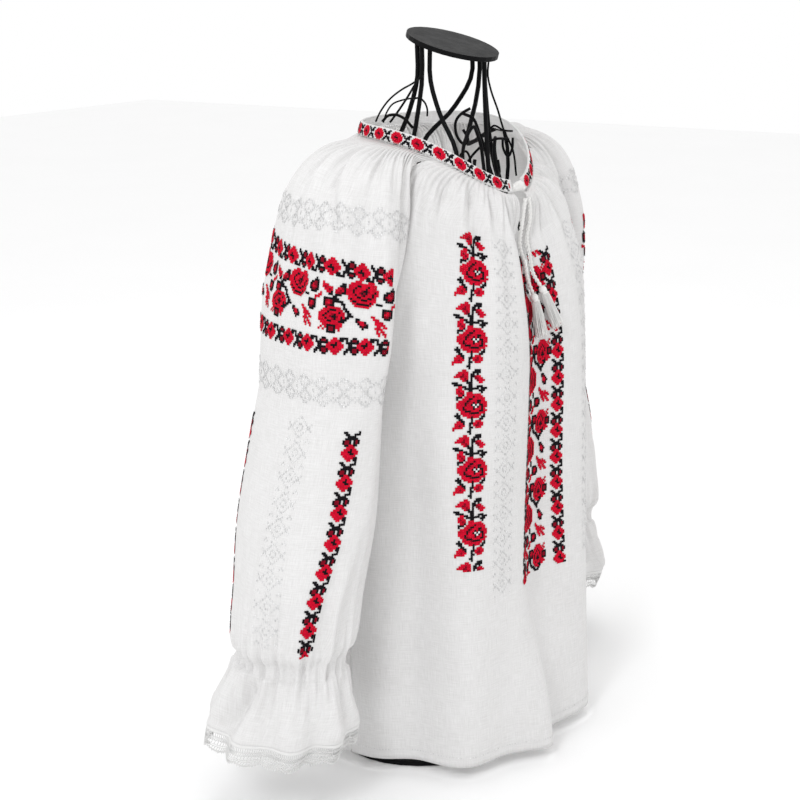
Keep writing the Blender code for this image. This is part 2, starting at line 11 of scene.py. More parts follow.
import bmesh
import bpy
import numpy as np
from mathutils import Matrix, Vector


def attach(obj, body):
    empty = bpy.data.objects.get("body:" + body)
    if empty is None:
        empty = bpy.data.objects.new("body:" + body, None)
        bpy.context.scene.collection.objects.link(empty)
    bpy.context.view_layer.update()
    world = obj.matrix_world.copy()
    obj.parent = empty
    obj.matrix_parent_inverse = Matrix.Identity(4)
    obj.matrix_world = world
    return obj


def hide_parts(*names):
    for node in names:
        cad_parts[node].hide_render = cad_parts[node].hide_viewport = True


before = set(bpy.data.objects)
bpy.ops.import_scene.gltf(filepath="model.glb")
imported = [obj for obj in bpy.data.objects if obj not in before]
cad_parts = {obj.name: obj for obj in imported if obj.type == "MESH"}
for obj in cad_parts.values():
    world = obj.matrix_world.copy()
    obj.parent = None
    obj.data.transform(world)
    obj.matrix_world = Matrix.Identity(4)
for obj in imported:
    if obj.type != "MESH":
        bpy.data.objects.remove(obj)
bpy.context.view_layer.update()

# The wire dress form
# It is bent from round steel wire, welded where the wires touch, and painted black.
# Seven uprights rise from a flat foot ring, follow two hoops and run in to a cap.
# Curled ends of thinner wire decorate its neck.

MIDDLE = np.array([0.0, 0.0136, 0.0])
WIRE = 0.0025
THIN_WIRE = 0.0019
JOIN_GAP = 0.0003
FOOT_HEIGHT = 0.005
CAP_THICKNESS = 0.005
CAP_TILT = math.radians(17)
CAP_CENTRE = (0.0, -0.018, 0.768)
# height, half_width, front_reach, back_reach
FORM = np.array(
    (
        (0.000, 0.140, 0.112, 0.098),
        (0.080, 0.140, 0.112, 0.098),
        (0.160, 0.132, 0.104, 0.090),
        (0.250, 0.118, 0.092, 0.080),
        (0.340, 0.130, 0.104, 0.084),
        (0.430, 0.140, 0.114, 0.086),
        (0.500, 0.136, 0.104, 0.086),
        (0.560, 0.112, 0.084, 0.078),
        (0.610, 0.078, 0.068, 0.062),
        (0.660, 0.056, 0.062, 0.044),
    )
)
NECK_LOW_Z = 0.700
NECK_HIGH_Z = 0.735
# angle, top_x, top_y
UPRIGHTS = {
    "upright_front_right": (-42, -0.034, -0.012),
    "upright_front": (-2, 0.028, -0.040),
    "upright_front_left": (52, 0.035, -0.036),
    "upright_back_left": (150, 0.037, -0.019),
    "upright_back_right": (210, -0.034, 0.004),
}
# angle, height
SCROLLS = {
    "scroll_right": (
        (-5.3, 0.600),
        (-9.0, 0.640),
        (-15.0, 0.672),
        (-23.0, 0.686),
        (-31.0, 0.676),
        (-35.0, 0.655),
        (-31.0, 0.638),
        (-24.0, 0.640),
        (-21.0, 0.652),
    ),
    "scroll_left": (
        (48.5, 0.600),
        (45.5, 0.632),
        (38.0, 0.660),
        (28.0, 0.670),
        (18.0, 0.660),
        (14.0, 0.645),
        (18.0, 0.632),
        (26.0, 0.634),
        (29.0, 0.646),
    ),
}

# The curls are bent in upright planes that turn with the shoulders. Each is a list of
# (sideways, height), sideways from the named stand.
CURL_TURN = math.radians(-57)
CURL_STANDS = {"left": (-0.036, -0.014), "middle": (0.004, -0.040), "right": (0.032, -0.036)}
# stand, radius, route
CURLS = (
    ("left", 0.0010, ((-0.008, 0.738), (-0.019, 0.730), (-0.030, 0.724), (-0.044, 0.713), (-0.053, 0.701), (-0.058, 0.691))),
    ("left", 0.0012, ((-0.010, 0.738), (-0.015, 0.731), (-0.025, 0.715), (-0.034, 0.702), (-0.043, 0.690))),
    ("left", 0.0010, ((-0.019, 0.714), (-0.012, 0.715), (-0.007, 0.711), (-0.004, 0.704), (-0.004, 0.696))),
    ("left", 0.0009, ((-0.019, 0.715), (-0.030, 0.713), (-0.040, 0.709), (-0.046, 0.701), (-0.050, 0.690))),
    ("left", 0.0015, ((-0.051, 0.691), (-0.045, 0.697), (-0.037, 0.698), (-0.028, 0.694), (-0.019, 0.684))),
    ("middle", 0.0016, ((-0.002, 0.702), (-0.011, 0.697), (-0.017, 0.690), (-0.018, 0.680), (-0.014, 0.669), (-0.008, 0.664), (-0.005, 0.670), (-0.010, 0.680))),
    ("middle", 0.0017, ((-0.011, 0.697), (0.000, 0.692), (0.007, 0.677), (0.012, 0.663), (0.017, 0.644), (0.023, 0.626))),
    ("middle", 0.0014, ((-0.009, 0.640), (0.003, 0.656), (0.012, 0.664), (0.027, 0.670), (0.039, 0.669))),
    ("middle", 0.0013, ((-0.012, 0.640), (-0.012, 0.654), (-0.007, 0.657), (-0.003, 0.651), (-0.002, 0.640), (0.001, 0.628))),
    ("right", 0.0011, ((0.003, 0.672), (0.012, 0.681), (0.022, 0.676), (0.032, 0.675))),
    ("right", 0.0014, ((0.021, 0.667), (0.022, 0.656), (0.027, 0.648), (0.031, 0.655), (0.032, 0.668))),
    ("right", 0.0011, ((0.006, 0.750), (0.005, 0.735), (0.008, 0.720), (0.016, 0.697), (0.022, 0.677), (0.032, 0.655), (0.036, 0.627))),
)


def through(x, rows, column):
    """A smooth curve through one column of a table, read at the heights x."""
    heights, values = rows[:, 0], rows[:, column]
    slopes = np.gradient(values, heights)
    x = np.clip(x, heights[0], heights[-1])
    i = np.clip(np.searchsorted(heights, x) - 1, 0, len(heights) - 2)
    step = heights[i + 1] - heights[i]
    f = (x - heights[i]) / step
    return (
        (2 * f**3 - 3 * f**2 + 1) * values[i]
        + (f**3 - 2 * f**2 + f) * step * slopes[i]
        + (3 * f**2 - 2 * f**3) * values[i + 1]
        + (f**3 - f**2) * step * slopes[i + 1]
    )


def smooth_route(route, count):
    """Evenly spaced points on a smooth curve through the points of a route."""
    route = np.array(route)
    lengths = np.linalg.norm(np.diff(route, axis=0), axis=1)
    table = np.column_stack([np.concatenate([[0.0], np.cumsum(lengths)]), route])
    where = np.linspace(0, table[-1, 0], count)
    return np.stack([through(where, table, column) for column in (1, 2, 3)], -1)


def oval(table, angle, height):
    """An outline whose front and back reach differ, at an angle from the front."""
    facing = np.cos(angle) > 0
    reach = np.where(facing, through(height, table, 2), through(height, table, 3))
    x = through(height, table, 1) * np.sin(angle)
    return np.stack([x, -reach * np.cos(angle), height + 0 * x], -1)


def form_point(angle, height):
    return oval(FORM, np.radians(angle), np.array(height))


def neck_route(foot, x, y):
    """From a wire's place on the form up to its end under the tilted cap."""
    slant = math.tan(CAP_TILT) * (y - CAP_CENTRE[1])
    below = CAP_THICKNESS / 2 / math.cos(CAP_TILT) + WIRE * math.tan(CAP_TILT)
    cap_z = CAP_CENTRE[2] + slant - below - JOIN_GAP
    low = foot + (np.array([x, y, NECK_LOW_Z]) - foot) * 0.65
    low[2] = NECK_LOW_Z
    return [low, np.array([x, y, NECK_HIGH_Z]), np.array([x, y, cap_z])]


class Value:
    """A socket of a material that can be used in plain arithmetic."""

    def __init__(self, paint, socket):
        self.paint = paint
        self.socket = socket

    def maths(self, operation, *others):
        return self.paint.node("ShaderNodeMath", {"operation": operation}, self, *others)

    def __add__(self, other):
        return self.maths("ADD", other)

    __radd__ = __add__

    def __mul__(self, other):
        return self.maths("MULTIPLY", other)

    __rmul__ = __mul__

    def __sub__(self, other):
        return self.maths("SUBTRACT", other)

    def __rsub__(self, other):
        return (self * -1) + other

    def __pow__(self, other):
        return self.maths("POWER", other)


class Paint:
    """A material; plain settings go straight on the shader's own sockets."""

    def __init__(self, name, settings):
        self.material = bpy.data.materials.new(name)
        self.material.use_nodes = True
        self.tree = self.material.node_tree
        self.shader = self.tree.nodes["Principled BSDF"]
        for socket, value in settings.items():
            self.shader.inputs[socket].default_value = value

    def put(self, target, value):
        if isinstance(value, Value):
            self.tree.links.new(value.socket, target)
        elif value is not None:
            target.default_value = value

    def node(self, kind, settings, *inputs, output=0, named=None):
        """Any node: its settings first, then the values or links of its sockets."""
        made = self.tree.nodes.new(kind)
        for key, value in settings.items():
            setattr(made, key, value)
        for target, value in zip(made.inputs, inputs):
            self.put(target, value)
        for key, value in (named or {}).items():
            self.put(made.inputs[key], value)
        return Value(self, made.outputs[output])

    def noise(self, place, scale, detail=2.0, rough=0.5):
        sizes = {"Vector": place, "Scale": scale, "Detail": detail, "Roughness": rough}
        return self.node("ShaderNodeTexNoise", {}, named=sizes, output="Fac")

    def stretched(self, place, scale):
        sizes = {"Vector": place, "Scale": scale}
        return self.node("ShaderNodeMapping", {}, named=sizes)

    def blend(self, factor, first, second):
        """A mix of two colours."""
        made = self.tree.nodes.new("ShaderNodeMix")
        made.data_type = "RGBA"
        for number, value in ((0, factor), (6, first), (7, second)):
            self.put(made.inputs[number], value)
        return Value(self, made.outputs[2])

    def bump(self, height, distance, strength=1.0):
        sizes = {"Height": height, "Distance": distance, "Strength": strength}
        return self.node("ShaderNodeBump", {}, named=sizes)

    def wear(self, socket, value):
        self.put(self.shader.inputs[socket], value)


def add_piece(name, data, material):
    """A piece at the origin, linked into the scene with its material."""
    thing = bpy.data.objects.new(name, data)
    data.materials.append(material)
    bpy.context.scene.collection.objects.link(thing)
    return thing


def plain_mesh(thing):
    """The finished mesh of a piece whose modifiers or curve made it."""
    evaluated = thing.evaluated_get(bpy.context.evaluated_depsgraph_get())
    mesh = bpy.data.meshes.new_from_object(evaluated)
    name, data = thing.name, thing.data
    bpy.data.objects.remove(thing)
    mesh.name = name
    made = bpy.data.objects.new(name, mesh)
    bpy.context.scene.collection.objects.link(made)
    if isinstance(data, bpy.types.Curve):
        bpy.data.curves.remove(data)
    return made


def bent_wire(name, points, radius, material, closed=False):
    """A round wire along a list of points, its ends closed flat."""
    curve = bpy.data.curves.new(name, "CURVE")
    curve.dimensions = "3D"
    curve.bevel_depth = radius
    curve.bevel_resolution = 3
    curve.use_fill_caps = not closed
    spline = curve.splines.new("POLY")
    spline.points.add(len(points) - 1)
    for spot, point in zip(spline.points, points):
        spot.co = (*point, 1)
    spline.use_cyclic_u = closed
    made = plain_mesh(add_piece(name, curve, material))
    made.data.shade_smooth()
    return made


black_wire = Paint("black wire", {"Specular IOR Level": 0.2, "IOR": 1.25})
place = black_wire.node("ShaderNodeTexCoord", {}, output="Object")
hammered = black_wire.noise(place, 420, 3)
scuffs = black_wire.noise(place, 60, 4, 0.7)
BLACK = (0.003, 0.003, 0.0035, 1)
WORN_BLACK = (0.014, 0.014, 0.015, 1)
black_wire.wear("Base Color", black_wire.blend(scuffs**3, BLACK, WORN_BLACK))
black_wire.wear("Roughness", 0.28 + 0.3 * scuffs)
black_wire.wear("Normal", black_wire.bump(hammered, 0.0004, 0.5))

for name, (angle, top_x, top_y) in UPRIGHTS.items():
    heights = [*np.linspace(FOOT_HEIGHT + JOIN_GAP, 0.50, 8), 0.56, 0.61, 0.66]
    route = [form_point(angle, height) for height in heights]
    route += neck_route(route[-1], top_x, top_y)
    wire = bent_wire(name + "_wire", smooth_route(route, 70) + MIDDLE, WIRE, black_wire.material)
    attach(wire, "root")
    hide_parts(name)

for name, table in SCROLLS.items():
    route = [form_point(angle, height) for angle, height in table]
    curl = bent_wire(name + "_curl", smooth_route(route, 60) + MIDDLE, THIN_WIRE, black_wire.material)
    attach(curl, "root")
    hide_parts(name)

for number, (stand, radius, route) in enumerate(CURLS, 1):
    x, y = CURL_STANDS[stand]
    spots = [(x + u * math.cos(CURL_TURN), y + u * math.sin(CURL_TURN), z) for u, z in route]
    curl = bent_wire(f"neck_curl_{number}", smooth_route(spots, 24) + MIDDLE, radius, black_wire.material)
    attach(curl, "root")

for name in ("foot_ring", "neck_cap", "hoop_chest", "hoop_waist", "upright_side_left", "upright_side_right"):
    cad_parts[name].material_slots[0].material = black_wire.material

# The front
# One width of thin white cotton, hemmed below and gathered to the neck band above.
# A slit runs down from the neckline, bound with a narrow strip of the same cotton.
# The cloth hangs in soft folds and dips at the slit.

CLOTH = 0.0007
STEP = 0.004
SEAM_GAP = 0.0004
NECK_HALF_WIDTH = 0.097
NECK_HALF_DEPTH = 0.090
NECK_CENTRE_Y = -0.009
NECK_BACK_Z = 0.676
NECK_FRONT_DROP = 0.059
NECK_DROP_POWER = 4.0
FRONT_SEAM_ANGLE = math.radians(62)
BACK_SEAM_ANGLE = math.radians(132)
SLIT_END_FALL = 0.66
SLIT_HALF_WIDTH = 0.011
SLIT_REACH = 0.35
ARMPIT_Z = 0.435
HEM_Z = 0.014
HEM_DEPTH = 0.0125
BODY_CENTRE_Y = 0.012
# height, half_width, front_reach, back_reach
BODY = np.array(
    (
        (HEM_Z, 0.165, 0.176, 0.116),
        (0.100, 0.163, 0.175, 0.115),
        (0.200, 0.161, 0.173, 0.114),
        (0.300, 0.160, 0.173, 0.113),
        (0.380, 0.160, 0.175, 0.112),
        (ARMPIT_Z, 0.160, 0.176, 0.110),
    )
)
FRONT_BOW = 0.040
BACK_BOW = 0.046
SIDE_SLOPE = 0.27
CHEST_SLOPE = 0.62
SIDE_ROUNDNESS = 0.45
CHEST_ROUNDNESS = 0.80
SEAM_SPREAD = 0.0019
NECK_GATHER_DEPTH = 0.0035
NECK_FOLD_DEPTH = 0.0060
FINE_GATHER_DEPTH = 0.0035
FRONT_GATHERS = 24
# across, width before, width after, depth, the fall where it starts and is full
FRONT_FOLDS = (
    (-0.04, 0.18, 0.26, -0.037, 0.00, 0.28),
    (-0.04, 0.18, 0.26, -0.005, 0.30, 0.60),
    (-0.04, 0.18, 0.26, 0.042, 1.50, 2.00),
    (-0.12, 0.07, 0.05, 0.010, 1.50, 2.00),
    (0.00, 0.10, 0.20, -0.024, 1.50, 2.00),
    (-0.34, 0.14, 0.12, -0.007, 0.60, 1.60),
    (-0.52, 0.12, 0.12, 0.011, 0.90, 1.70),
    (-0.74, 0.12, 0.10, -0.010, 0.60, 1.40),
    (0.34, 0.14, 0.14, 0.009, 0.80, 1.70),
    (0.56, 0.12, 0.10, -0.008, 0.70, 1.60),
    (0.76, 0.12, 0.12, 0.010, 0.80, 1.60),
)

# Creases are listed one by one: each is a soft trough or ridge from one place on the
# cloth to another: across, fall, to_across, to_fall, width, depth.
FRONT_CREASES = (
    (-0.93, 0.04, -0.90, 0.42, 0.020, 0.0068),
    (-0.90, 0.42, -0.86, 0.95, 0.026, 0.0046),
    (-0.80, 0.01, -0.725, 0.20, 0.018, -0.0068),
    (-0.725, 0.20, -0.76, 0.62, 0.022, -0.0078),
    (-0.67, 0.02, -0.63, 0.34, 0.016, 0.0054),
    (-0.62, 0.03, -0.545, 0.24, 0.012, -0.0051),
    (-0.545, 0.24, -0.515, 0.42, 0.014, -0.0041),
    (-0.52, 0.02, -0.47, 0.28, 0.012, 0.0041),
    (-0.46, 0.01, -0.39, 0.32, 0.011, -0.0043),
    (-0.36, 0.01, -0.31, 0.30, 0.011, 0.0035),
    (-0.29, 0.02, -0.25, 0.24, 0.010, -0.0035),
    (-0.16, 0.02, -0.15, 0.20, 0.010, -0.0027),
    (0.15, 0.02, 0.17, 0.24, 0.010, -0.0032),
    (0.24, 0.01, 0.27, 0.30, 0.011, 0.0035),
    (0.32, 0.02, 0.37, 0.34, 0.012, -0.0043),
    (0.43, 0.01, 0.50, 0.40, 0.013, 0.0046),
    (0.52, 0.02, 0.60, 0.46, 0.014, -0.0051),
    (0.63, 0.02, 0.71, 0.52, 0.016, 0.0051),
    (0.76, 0.02, 0.80, 0.62, 0.022, -0.0068),
    (0.90, 0.04, 0.88, 0.90, 0.024, 0.0059),
    (-0.86, 0.90, -0.72, 1.45, 0.040, -0.0034),
    (-0.66, 0.80, -0.60, 1.30, 0.034, 0.0026),
    (-0.42, 0.60, -0.40, 1.30, 0.026, 0.0020),
    (-0.26, 1.05, -0.32, 2.00, 0.030, -0.0026),
    (0.12, 1.20, 0.20, 2.00, 0.034, -0.0026),
    (0.36, 0.90, 0.34, 1.60, 0.034, 0.0024),
    (0.70, 0.90, 0.60, 1.50, 0.034, -0.0030),
    (-0.62, 1.40, -0.66, 2.00, 0.040, -0.0030),
    (-0.86, 1.50, -0.88, 2.00, 0.036, 0.0030),
)


def ease(x, start, end):
    """0 before start, 1 after end, and smooth between them."""
    f = np.clip((x - start) / (end - start), 0, 1)
    return f * f * (3 - 2 * f)


def bump(x, centre, before, after):
    """A soft ridge that is 1 at its centre, with its own width on each side."""
    width = np.where(x < centre, before, after)
    return np.exp(-(((x - centre) / width) ** 2))


def pleat(across, count):
    """Gathers: 0 in each valley and 1 on each ridge."""
    return 0.5 - 0.5 * np.cos(math.pi * (across + 1) * count)


def uneven(across, seed):
    """A slow change between 0.55 and 1, so that no two folds are alike."""
    turn = math.pi * across
    return 0.775 + 0.225 * np.sin(3 * turn + seed) * np.cos(2 * turn - seed)


def neck_point(angle):
    """The neckline. The angle is 0 at the front and grows towards the wearer's left."""
    x = NECK_HALF_WIDTH * np.sin(angle)
    y = NECK_CENTRE_Y - NECK_HALF_DEPTH * np.cos(angle)
    dip = ((1 + np.cos(angle)) / 2) ** NECK_DROP_POWER
    return np.stack([x, y, NECK_BACK_Z - NECK_FRONT_DROP * dip], -1)


def over_shoulder(neck, armpit, neck_angle, fall):
    """From the neckline over the chest or shoulder, where fall goes from 0 to 1."""
    chest = np.cos(neck_angle) ** 2
    slope = SIDE_SLOPE + (CHEST_SLOPE - SIDE_SLOPE) * chest
    roundness = SIDE_ROUNDNESS + (CHEST_ROUNDNESS - SIDE_ROUNDNESS) * chest
    out = np.sin(fall * math.pi / 2) ** roundness
    down = (1 - slope) * (1 - np.cos(fall * math.pi / 2)) + slope * fall
    return neck + (armpit - neck) * np.stack([out, out, down], -1)


def seam_bow(fall):
    """How far the raglan seam swings out between the neck and the armpit."""
    return (4 * fall * (1 - fall)) ** 1.5


def body_base(across, fall, turned, seam, reach_column, bow):
    """The front or the back without folds, from one side seam to the other."""
    across, fall = np.broadcast_arrays(across, fall)
    top = np.clip(fall, 0, 1)
    height = ARMPIT_Z + (HEM_Z - ARMPIT_Z) * np.clip(fall - 1, 0, 1)
    reach = through(height, BODY, reach_column)
    neck_angle = turned + across * (seam - SEAM_SPREAD / 2 / NECK_HALF_WIDTH)
    angle = turned + across * (math.pi / 2 - SEAM_GAP / 2 / reach)
    ring = oval(BODY, angle, height) + np.array([0, BODY_CENTRE_Y, 0])
    surface = over_shoulder(neck_point(neck_angle), ring, neck_angle, top)
    surface[..., 1] += bow * seam_bow(top) * np.abs(across) ** 3
    return surface


def front_base(across, fall):
    return body_base(across, fall, 0.0, FRONT_SEAM_ANGLE, 2, -FRONT_BOW)


def normals(base, across, fall):
    """Unit normals of a surface, pointing out of the garment."""
    down = base(across, fall + STEP) - base(across, fall - STEP)
    along = base(across + STEP, fall) - base(across - STEP, fall)
    normal = np.cross(down, along)
    return normal / np.maximum(np.linalg.norm(normal, axis=-1, keepdims=True), 1e-12)


def raised(base, depth, across, fall):
    """A surface moved out along its normals."""
    return base(across, fall) + depth[..., None] * normals(base, across, fall)


def fine_gathers(across, fall, count, seed):
    """The small gathers that the needle draws up, which die out below the band."""
    waver = across + 0.010 * np.sin(9 * across + seed) + 0.012 * fall * np.sin(23 * across)
    fade = ease(fall, 0.0, 0.03) * (1 - ease(fall, 0.06, 0.36))
    start = 0.45 + 0.55 * (1 - ease(fall, 0.0, 0.03))
    inside = 1 - ease(np.abs(across), 0.94, 1.0)
    size = FINE_GATHER_DEPTH * (fade + 0.35 * start * (1 - ease(fall, 0.0, 0.12))) * inside
    return size * (pleat(waver, count) - 0.4) * uneven(across, seed)


def neck_gathers(across, fall, count):
    """Fine gathers at the band, which run together in pairs as they fall."""
    fine = ease(fall, 0.0, 0.12) * (1 - ease(fall, 0.18, 0.44))
    wide = ease(fall, 0.10, 0.40) * (1 - ease(fall, 0.50, 1.05))
    return (
        NECK_GATHER_DEPTH * fine * pleat(across, count) * uneven(across, 1.0)
        + NECK_FOLD_DEPTH * wide * pleat(across, count / 2) * uneven(across, 2.5)
    )


def long_folds(across, fall, table):
    depth = 0 * across
    for centre, before, after, height, starts, full in table:
        depth = depth + height * bump(across, centre, before, after) * ease(
            fall, starts, full
        )
    return depth


def creases(across, fall, table, scale=0.25):
    """Soft troughs and ridges, each along a line on the cloth; scale is metres a unit."""
    depth = 0 * across
    for a0, f0, a1, f1, width, height in table:
        along = np.array([a1 - a0, f1 - f0]) * scale
        length = np.linalg.norm(along)
        x, y = (across - a0) * scale, (fall - f0) * scale
        part = np.clip((x * along[0] + y * along[1]) / length**2, 0, 1)
        away = np.hypot(x - part * along[0], y - part * along[1]) / width
        depth = depth + height * np.exp(-(away**2) * 2) * (0.55 + 0.45 * np.sin(math.pi * part))
    return depth


def away_from_seams(across):
    return 1 - ease(np.abs(across), 0.84, 1.0)


def turned_hem(fall, edge, metres_per_fall):
    """The doubled cloth of a hem stands a little proud of the single cloth above it."""
    above = (edge - fall) * metres_per_fall
    return 0.0005 * (1 - ease(above, HEM_DEPTH - 0.0006, HEM_DEPTH + 0.0006))


def front(across, fall):
    gathers = neck_gathers(across, fall, FRONT_GATHERS)
    below_band = ease(fall, 0.0, 0.08)
    folds = long_folds(across, fall, FRONT_FOLDS) + creases(across, fall, FRONT_CREASES) * below_band
    depth = (gathers + folds) * away_from_seams(across)
    depth = depth + fine_gathers(across, fall, 46, 0.7) + turned_hem(fall, 2.0, ARMPIT_Z - HEM_Z)
    return raised(front_base, depth, across, fall)


def faces_between(upper, lower):
    """Quads between two rows of points, or triangles where one has twice the columns."""
    faces = []
    if len(upper) == len(lower):
        for i in range(len(upper) - 1):
            faces.append((upper[i], lower[i], lower[i + 1], upper[i + 1]))
    else:
        for i in range(len(lower) - 1):
            a, b = lower[i : i + 2]
            c, d, e = upper[2 * i : 2 * i + 3]
            faces += [(c, a, d), (d, a, b), (d, b, e)]
    return faces


def parted(points, across, fall):
    """Moves the cloth on both sides of the slit apart."""
    opened = SLIT_HALF_WIDTH * (1 - fall / SLIT_END_FALL) ** 0.7 + SEAM_GAP
    pull = opened * np.clip(1 - np.abs(across) / SLIT_REACH, 0, 1)
    points = points.copy()
    points[:, 0] += np.where(across < 0, -pull, pull)
    return points


def woven(name, surface, groups, material, side=1, ring_from=9.0, slit=False):
    """One piece of cloth on a fine grid, and the width and length of its cut.

    Its flat size in metres is its UV map.

    side is -1 for the mirrored piece on the wearer's right, ring_from is the fall
    from which the piece closes into a tube, and slit parts the middle column.
    """
    points, flat, grid = [], [], []
    run = widest = 0.0
    previous = None
    for first, last, rows, columns in groups:
        for fall in np.linspace(first, last, rows):
            across = np.linspace(-1, 1, columns + 1)
            row = surface(across, np.full(columns + 1, fall))
            middle = columns // 2
            if previous is not None:
                run += float(np.linalg.norm(row[middle // 2] - previous))
            previous = row[middle // 2]
            width = float(np.linalg.norm(np.diff(row, axis=0), axis=1).sum())
            widest = max(widest, width)
            numbers = list(range(len(points), len(points) + columns + 1))
            if fall >= ring_from - 1e-9:
                numbers[-1] = numbers[0]
                row, across = row[:-1], across[:-1]
            rights = numbers[middle:]
            if slit and fall < SLIT_END_FALL - 1e-9:
                moved = parted(row, across, fall)
                extra = row[middle] * np.array([-1, 1, 1])
                extra[0] = 2 * row[middle][0] - moved[middle][0]
                numbers_left = len(points) + len(row)
                points.extend(moved)
                points.append(extra)
                flat.extend([(a * width / 2, run) for a in across])
                flat.append((0.0, run))
                grid.append((numbers[:middle] + [numbers_left], rights))
                continue
            points.extend(row)
            flat.extend([(a * width / 2, run) for a in across])
            grid.append((numbers[: middle + 1], rights))
    faces = []
    for upper, lower in zip(grid, grid[1:]):
        faces += faces_between(upper[0], lower[0])
        faces += faces_between(upper[1], lower[1])
    points = np.array(points) * np.array([side, 1, 1]) + MIDDLE
    if side < 0:
        faces = [face[::-1] for face in faces]
    mesh = bpy.data.meshes.new(name)
    mesh.from_pydata(points.tolist(), [], faces)
    mesh.update()
    flat = np.array(flat)
    corners = np.array([loop.vertex_index for loop in mesh.loops])
    uv = flat[corners]
    if ring_from < 9:
        wide = float(np.abs(flat[:, 0]).max())
        starts = np.array([polygon.loop_start for polygon in mesh.polygons])
        for start, polygon in zip(starts, mesh.polygons):
            stop = start + polygon.loop_total
            if np.ptp(uv[start:stop, 0]) > wide:
                part = uv[start:stop, 0]
                uv[start:stop, 0] = np.where(part < 0, -part, part)
    layer = mesh.uv_layers.new(name="cloth")
    layer.data.foreach_set("uv", uv.ravel().astype(np.float32))
    mesh.shade_smooth()
    thing = add_piece(name, mesh, material)
    wall = thing.modifiers.new("wall", "SOLIDIFY")
    wall.thickness = CLOTH
    wall.offset = 0
    return thing, (widest, run)


def cotton(name, warm):
    """Thin plain-woven cotton with slubs in both directions; warm tints it."""
    paint = Paint(name, {"Roughness": 0.92, "Sheen Weight": 0.12, "Specular IOR Level": 0.25})
    flat = paint.node("ShaderNodeUVMap", {"uv_map": "cloth"})
    place = paint.node("ShaderNodeTexCoord", {}, output="Object")
    warp = paint.noise(paint.stretched(flat, (1300, 60, 1)), 1, 3, 0.65)
    weft = paint.noise(paint.stretched(flat, (60, 1300, 1)), 1, 3, 0.65)
    cloud = paint.noise(place, 14, 3)
    parts = paint.node("ShaderNodeSeparateXYZ", {}, flat)
    over = paint.node("ShaderNodeSeparateXYZ", {}, flat, output=1)
    ribs = (parts * (2 * math.pi / 0.0008)).maths("SINE") * (over * (2 * math.pi / 0.0008)).maths("SINE")
    thread = warp + weft
    tone = (thread - 1.0) * 1.6 + 0.5 + (cloud - 0.5) * 0.4
    light = (0.745, 0.745 - 0.4 * warm, 0.753 - 1.2 * warm, 1)
    dark = (0.605, 0.603 - 0.4 * warm, 0.606 - 1.2 * warm, 1)
    paint.wear("Base Color", paint.blend(tone.maths("MAXIMUM", 0).maths("MINIMUM", 1), dark, light))
    height = thread * 0.7 + ribs * 0.12
    paint.wear("Normal", paint.bump(height, 0.00022, 0.55))
    return paint


white_cotton = cotton("white cotton", 0.012)
FRONT_GRID = ((0.00, 0.44, 44, 288), (0.45, 2.0, 118, 144))
front_cloth, front_cut = woven("front_cloth", front, FRONT_GRID, white_cotton.material, slit=True)
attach(front_cloth, "root")
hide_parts("front")

# The slit's binding is a narrow strip of the same cotton, folded round each raw edge.
for word, side in (("right", -1), ("left", 1)):
    falls = np.linspace(0.0, SLIT_END_FALL * 0.995, 50)
    edge = front(np.zeros(50), falls)
    opened = SLIT_HALF_WIDTH * (1 - falls / SLIT_END_FALL) ** 0.7 + SEAM_GAP
    edge[:, 0] += side * opened
    edge = edge + 0.0003 * normals(front_base, np.zeros(50), falls)
    binding = bent_wire(f"slit_binding_{word}", edge + MIDDLE, 0.0010, white_cotton.material)
    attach(binding, "root")

# The back
# The same width of cotton as the front, gathered to the band in the same way, with
# no slit. It hangs in a few long folds.

BACK_GATHERS = 24
BACK_FOLDS = (
    (-0.72, 0.12, 0.14, 0.011, 0.70, 1.60),
    (-0.46, 0.12, 0.12, -0.007, 0.60, 1.50),
    (-0.20, 0.14, 0.12, 0.012, 0.60, 1.70),
    (0.06, 0.12, 0.12, -0.008, 0.50, 1.40),
    (0.30, 0.12, 0.14, 0.011, 0.80, 1.70),
    (0.54, 0.12, 0.12, -0.006, 0.60, 1.60),
    (0.76, 0.12, 0.12, 0.009, 0.70, 1.50),
)
BACK_CREASES = (
    (-0.90, 0.02, -0.92, 0.70, 0.024, 0.0044),
    (-0.78, 0.02, -0.82, 0.56, 0.020, -0.0048),
    (-0.64, 0.02, -0.66, 0.40, 0.015, 0.0036),
    (-0.52, 0.02, -0.54, 0.52, 0.015, -0.0036),
    (-0.38, 0.02, -0.38, 0.34, 0.013, 0.0030),
    (-0.26, 0.02, -0.25, 0.44, 0.013, -0.0032),
    (-0.12, 0.02, -0.11, 0.32, 0.012, 0.0026),
    (0.00, 0.02, 0.01, 0.46, 0.014, -0.0030),
    (0.13, 0.02, 0.15, 0.36, 0.012, 0.0028),
    (0.27, 0.02, 0.30, 0.50, 0.015, -0.0034),
    (0.42, 0.02, 0.45, 0.36, 0.014, 0.0032),
    (0.56, 0.02, 0.60, 0.56, 0.016, -0.0038),
    (0.70, 0.02, 0.74, 0.44, 0.016, 0.0040),
    (0.82, 0.02, 0.84, 0.66, 0.022, -0.0048),
    (-0.70, 0.80, -0.62, 1.40, 0.036, -0.0028),
    (-0.30, 1.10, -0.26, 2.00, 0.036, -0.0030),
    (0.16, 0.90, 0.10, 1.50, 0.034, 0.0026),
    (0.44, 1.20, 0.42, 2.00, 0.036, 0.0030),
)


def back_base(across, fall):
    return body_base(across, fall, math.pi, math.pi - BACK_SEAM_ANGLE, 3, BACK_BOW)


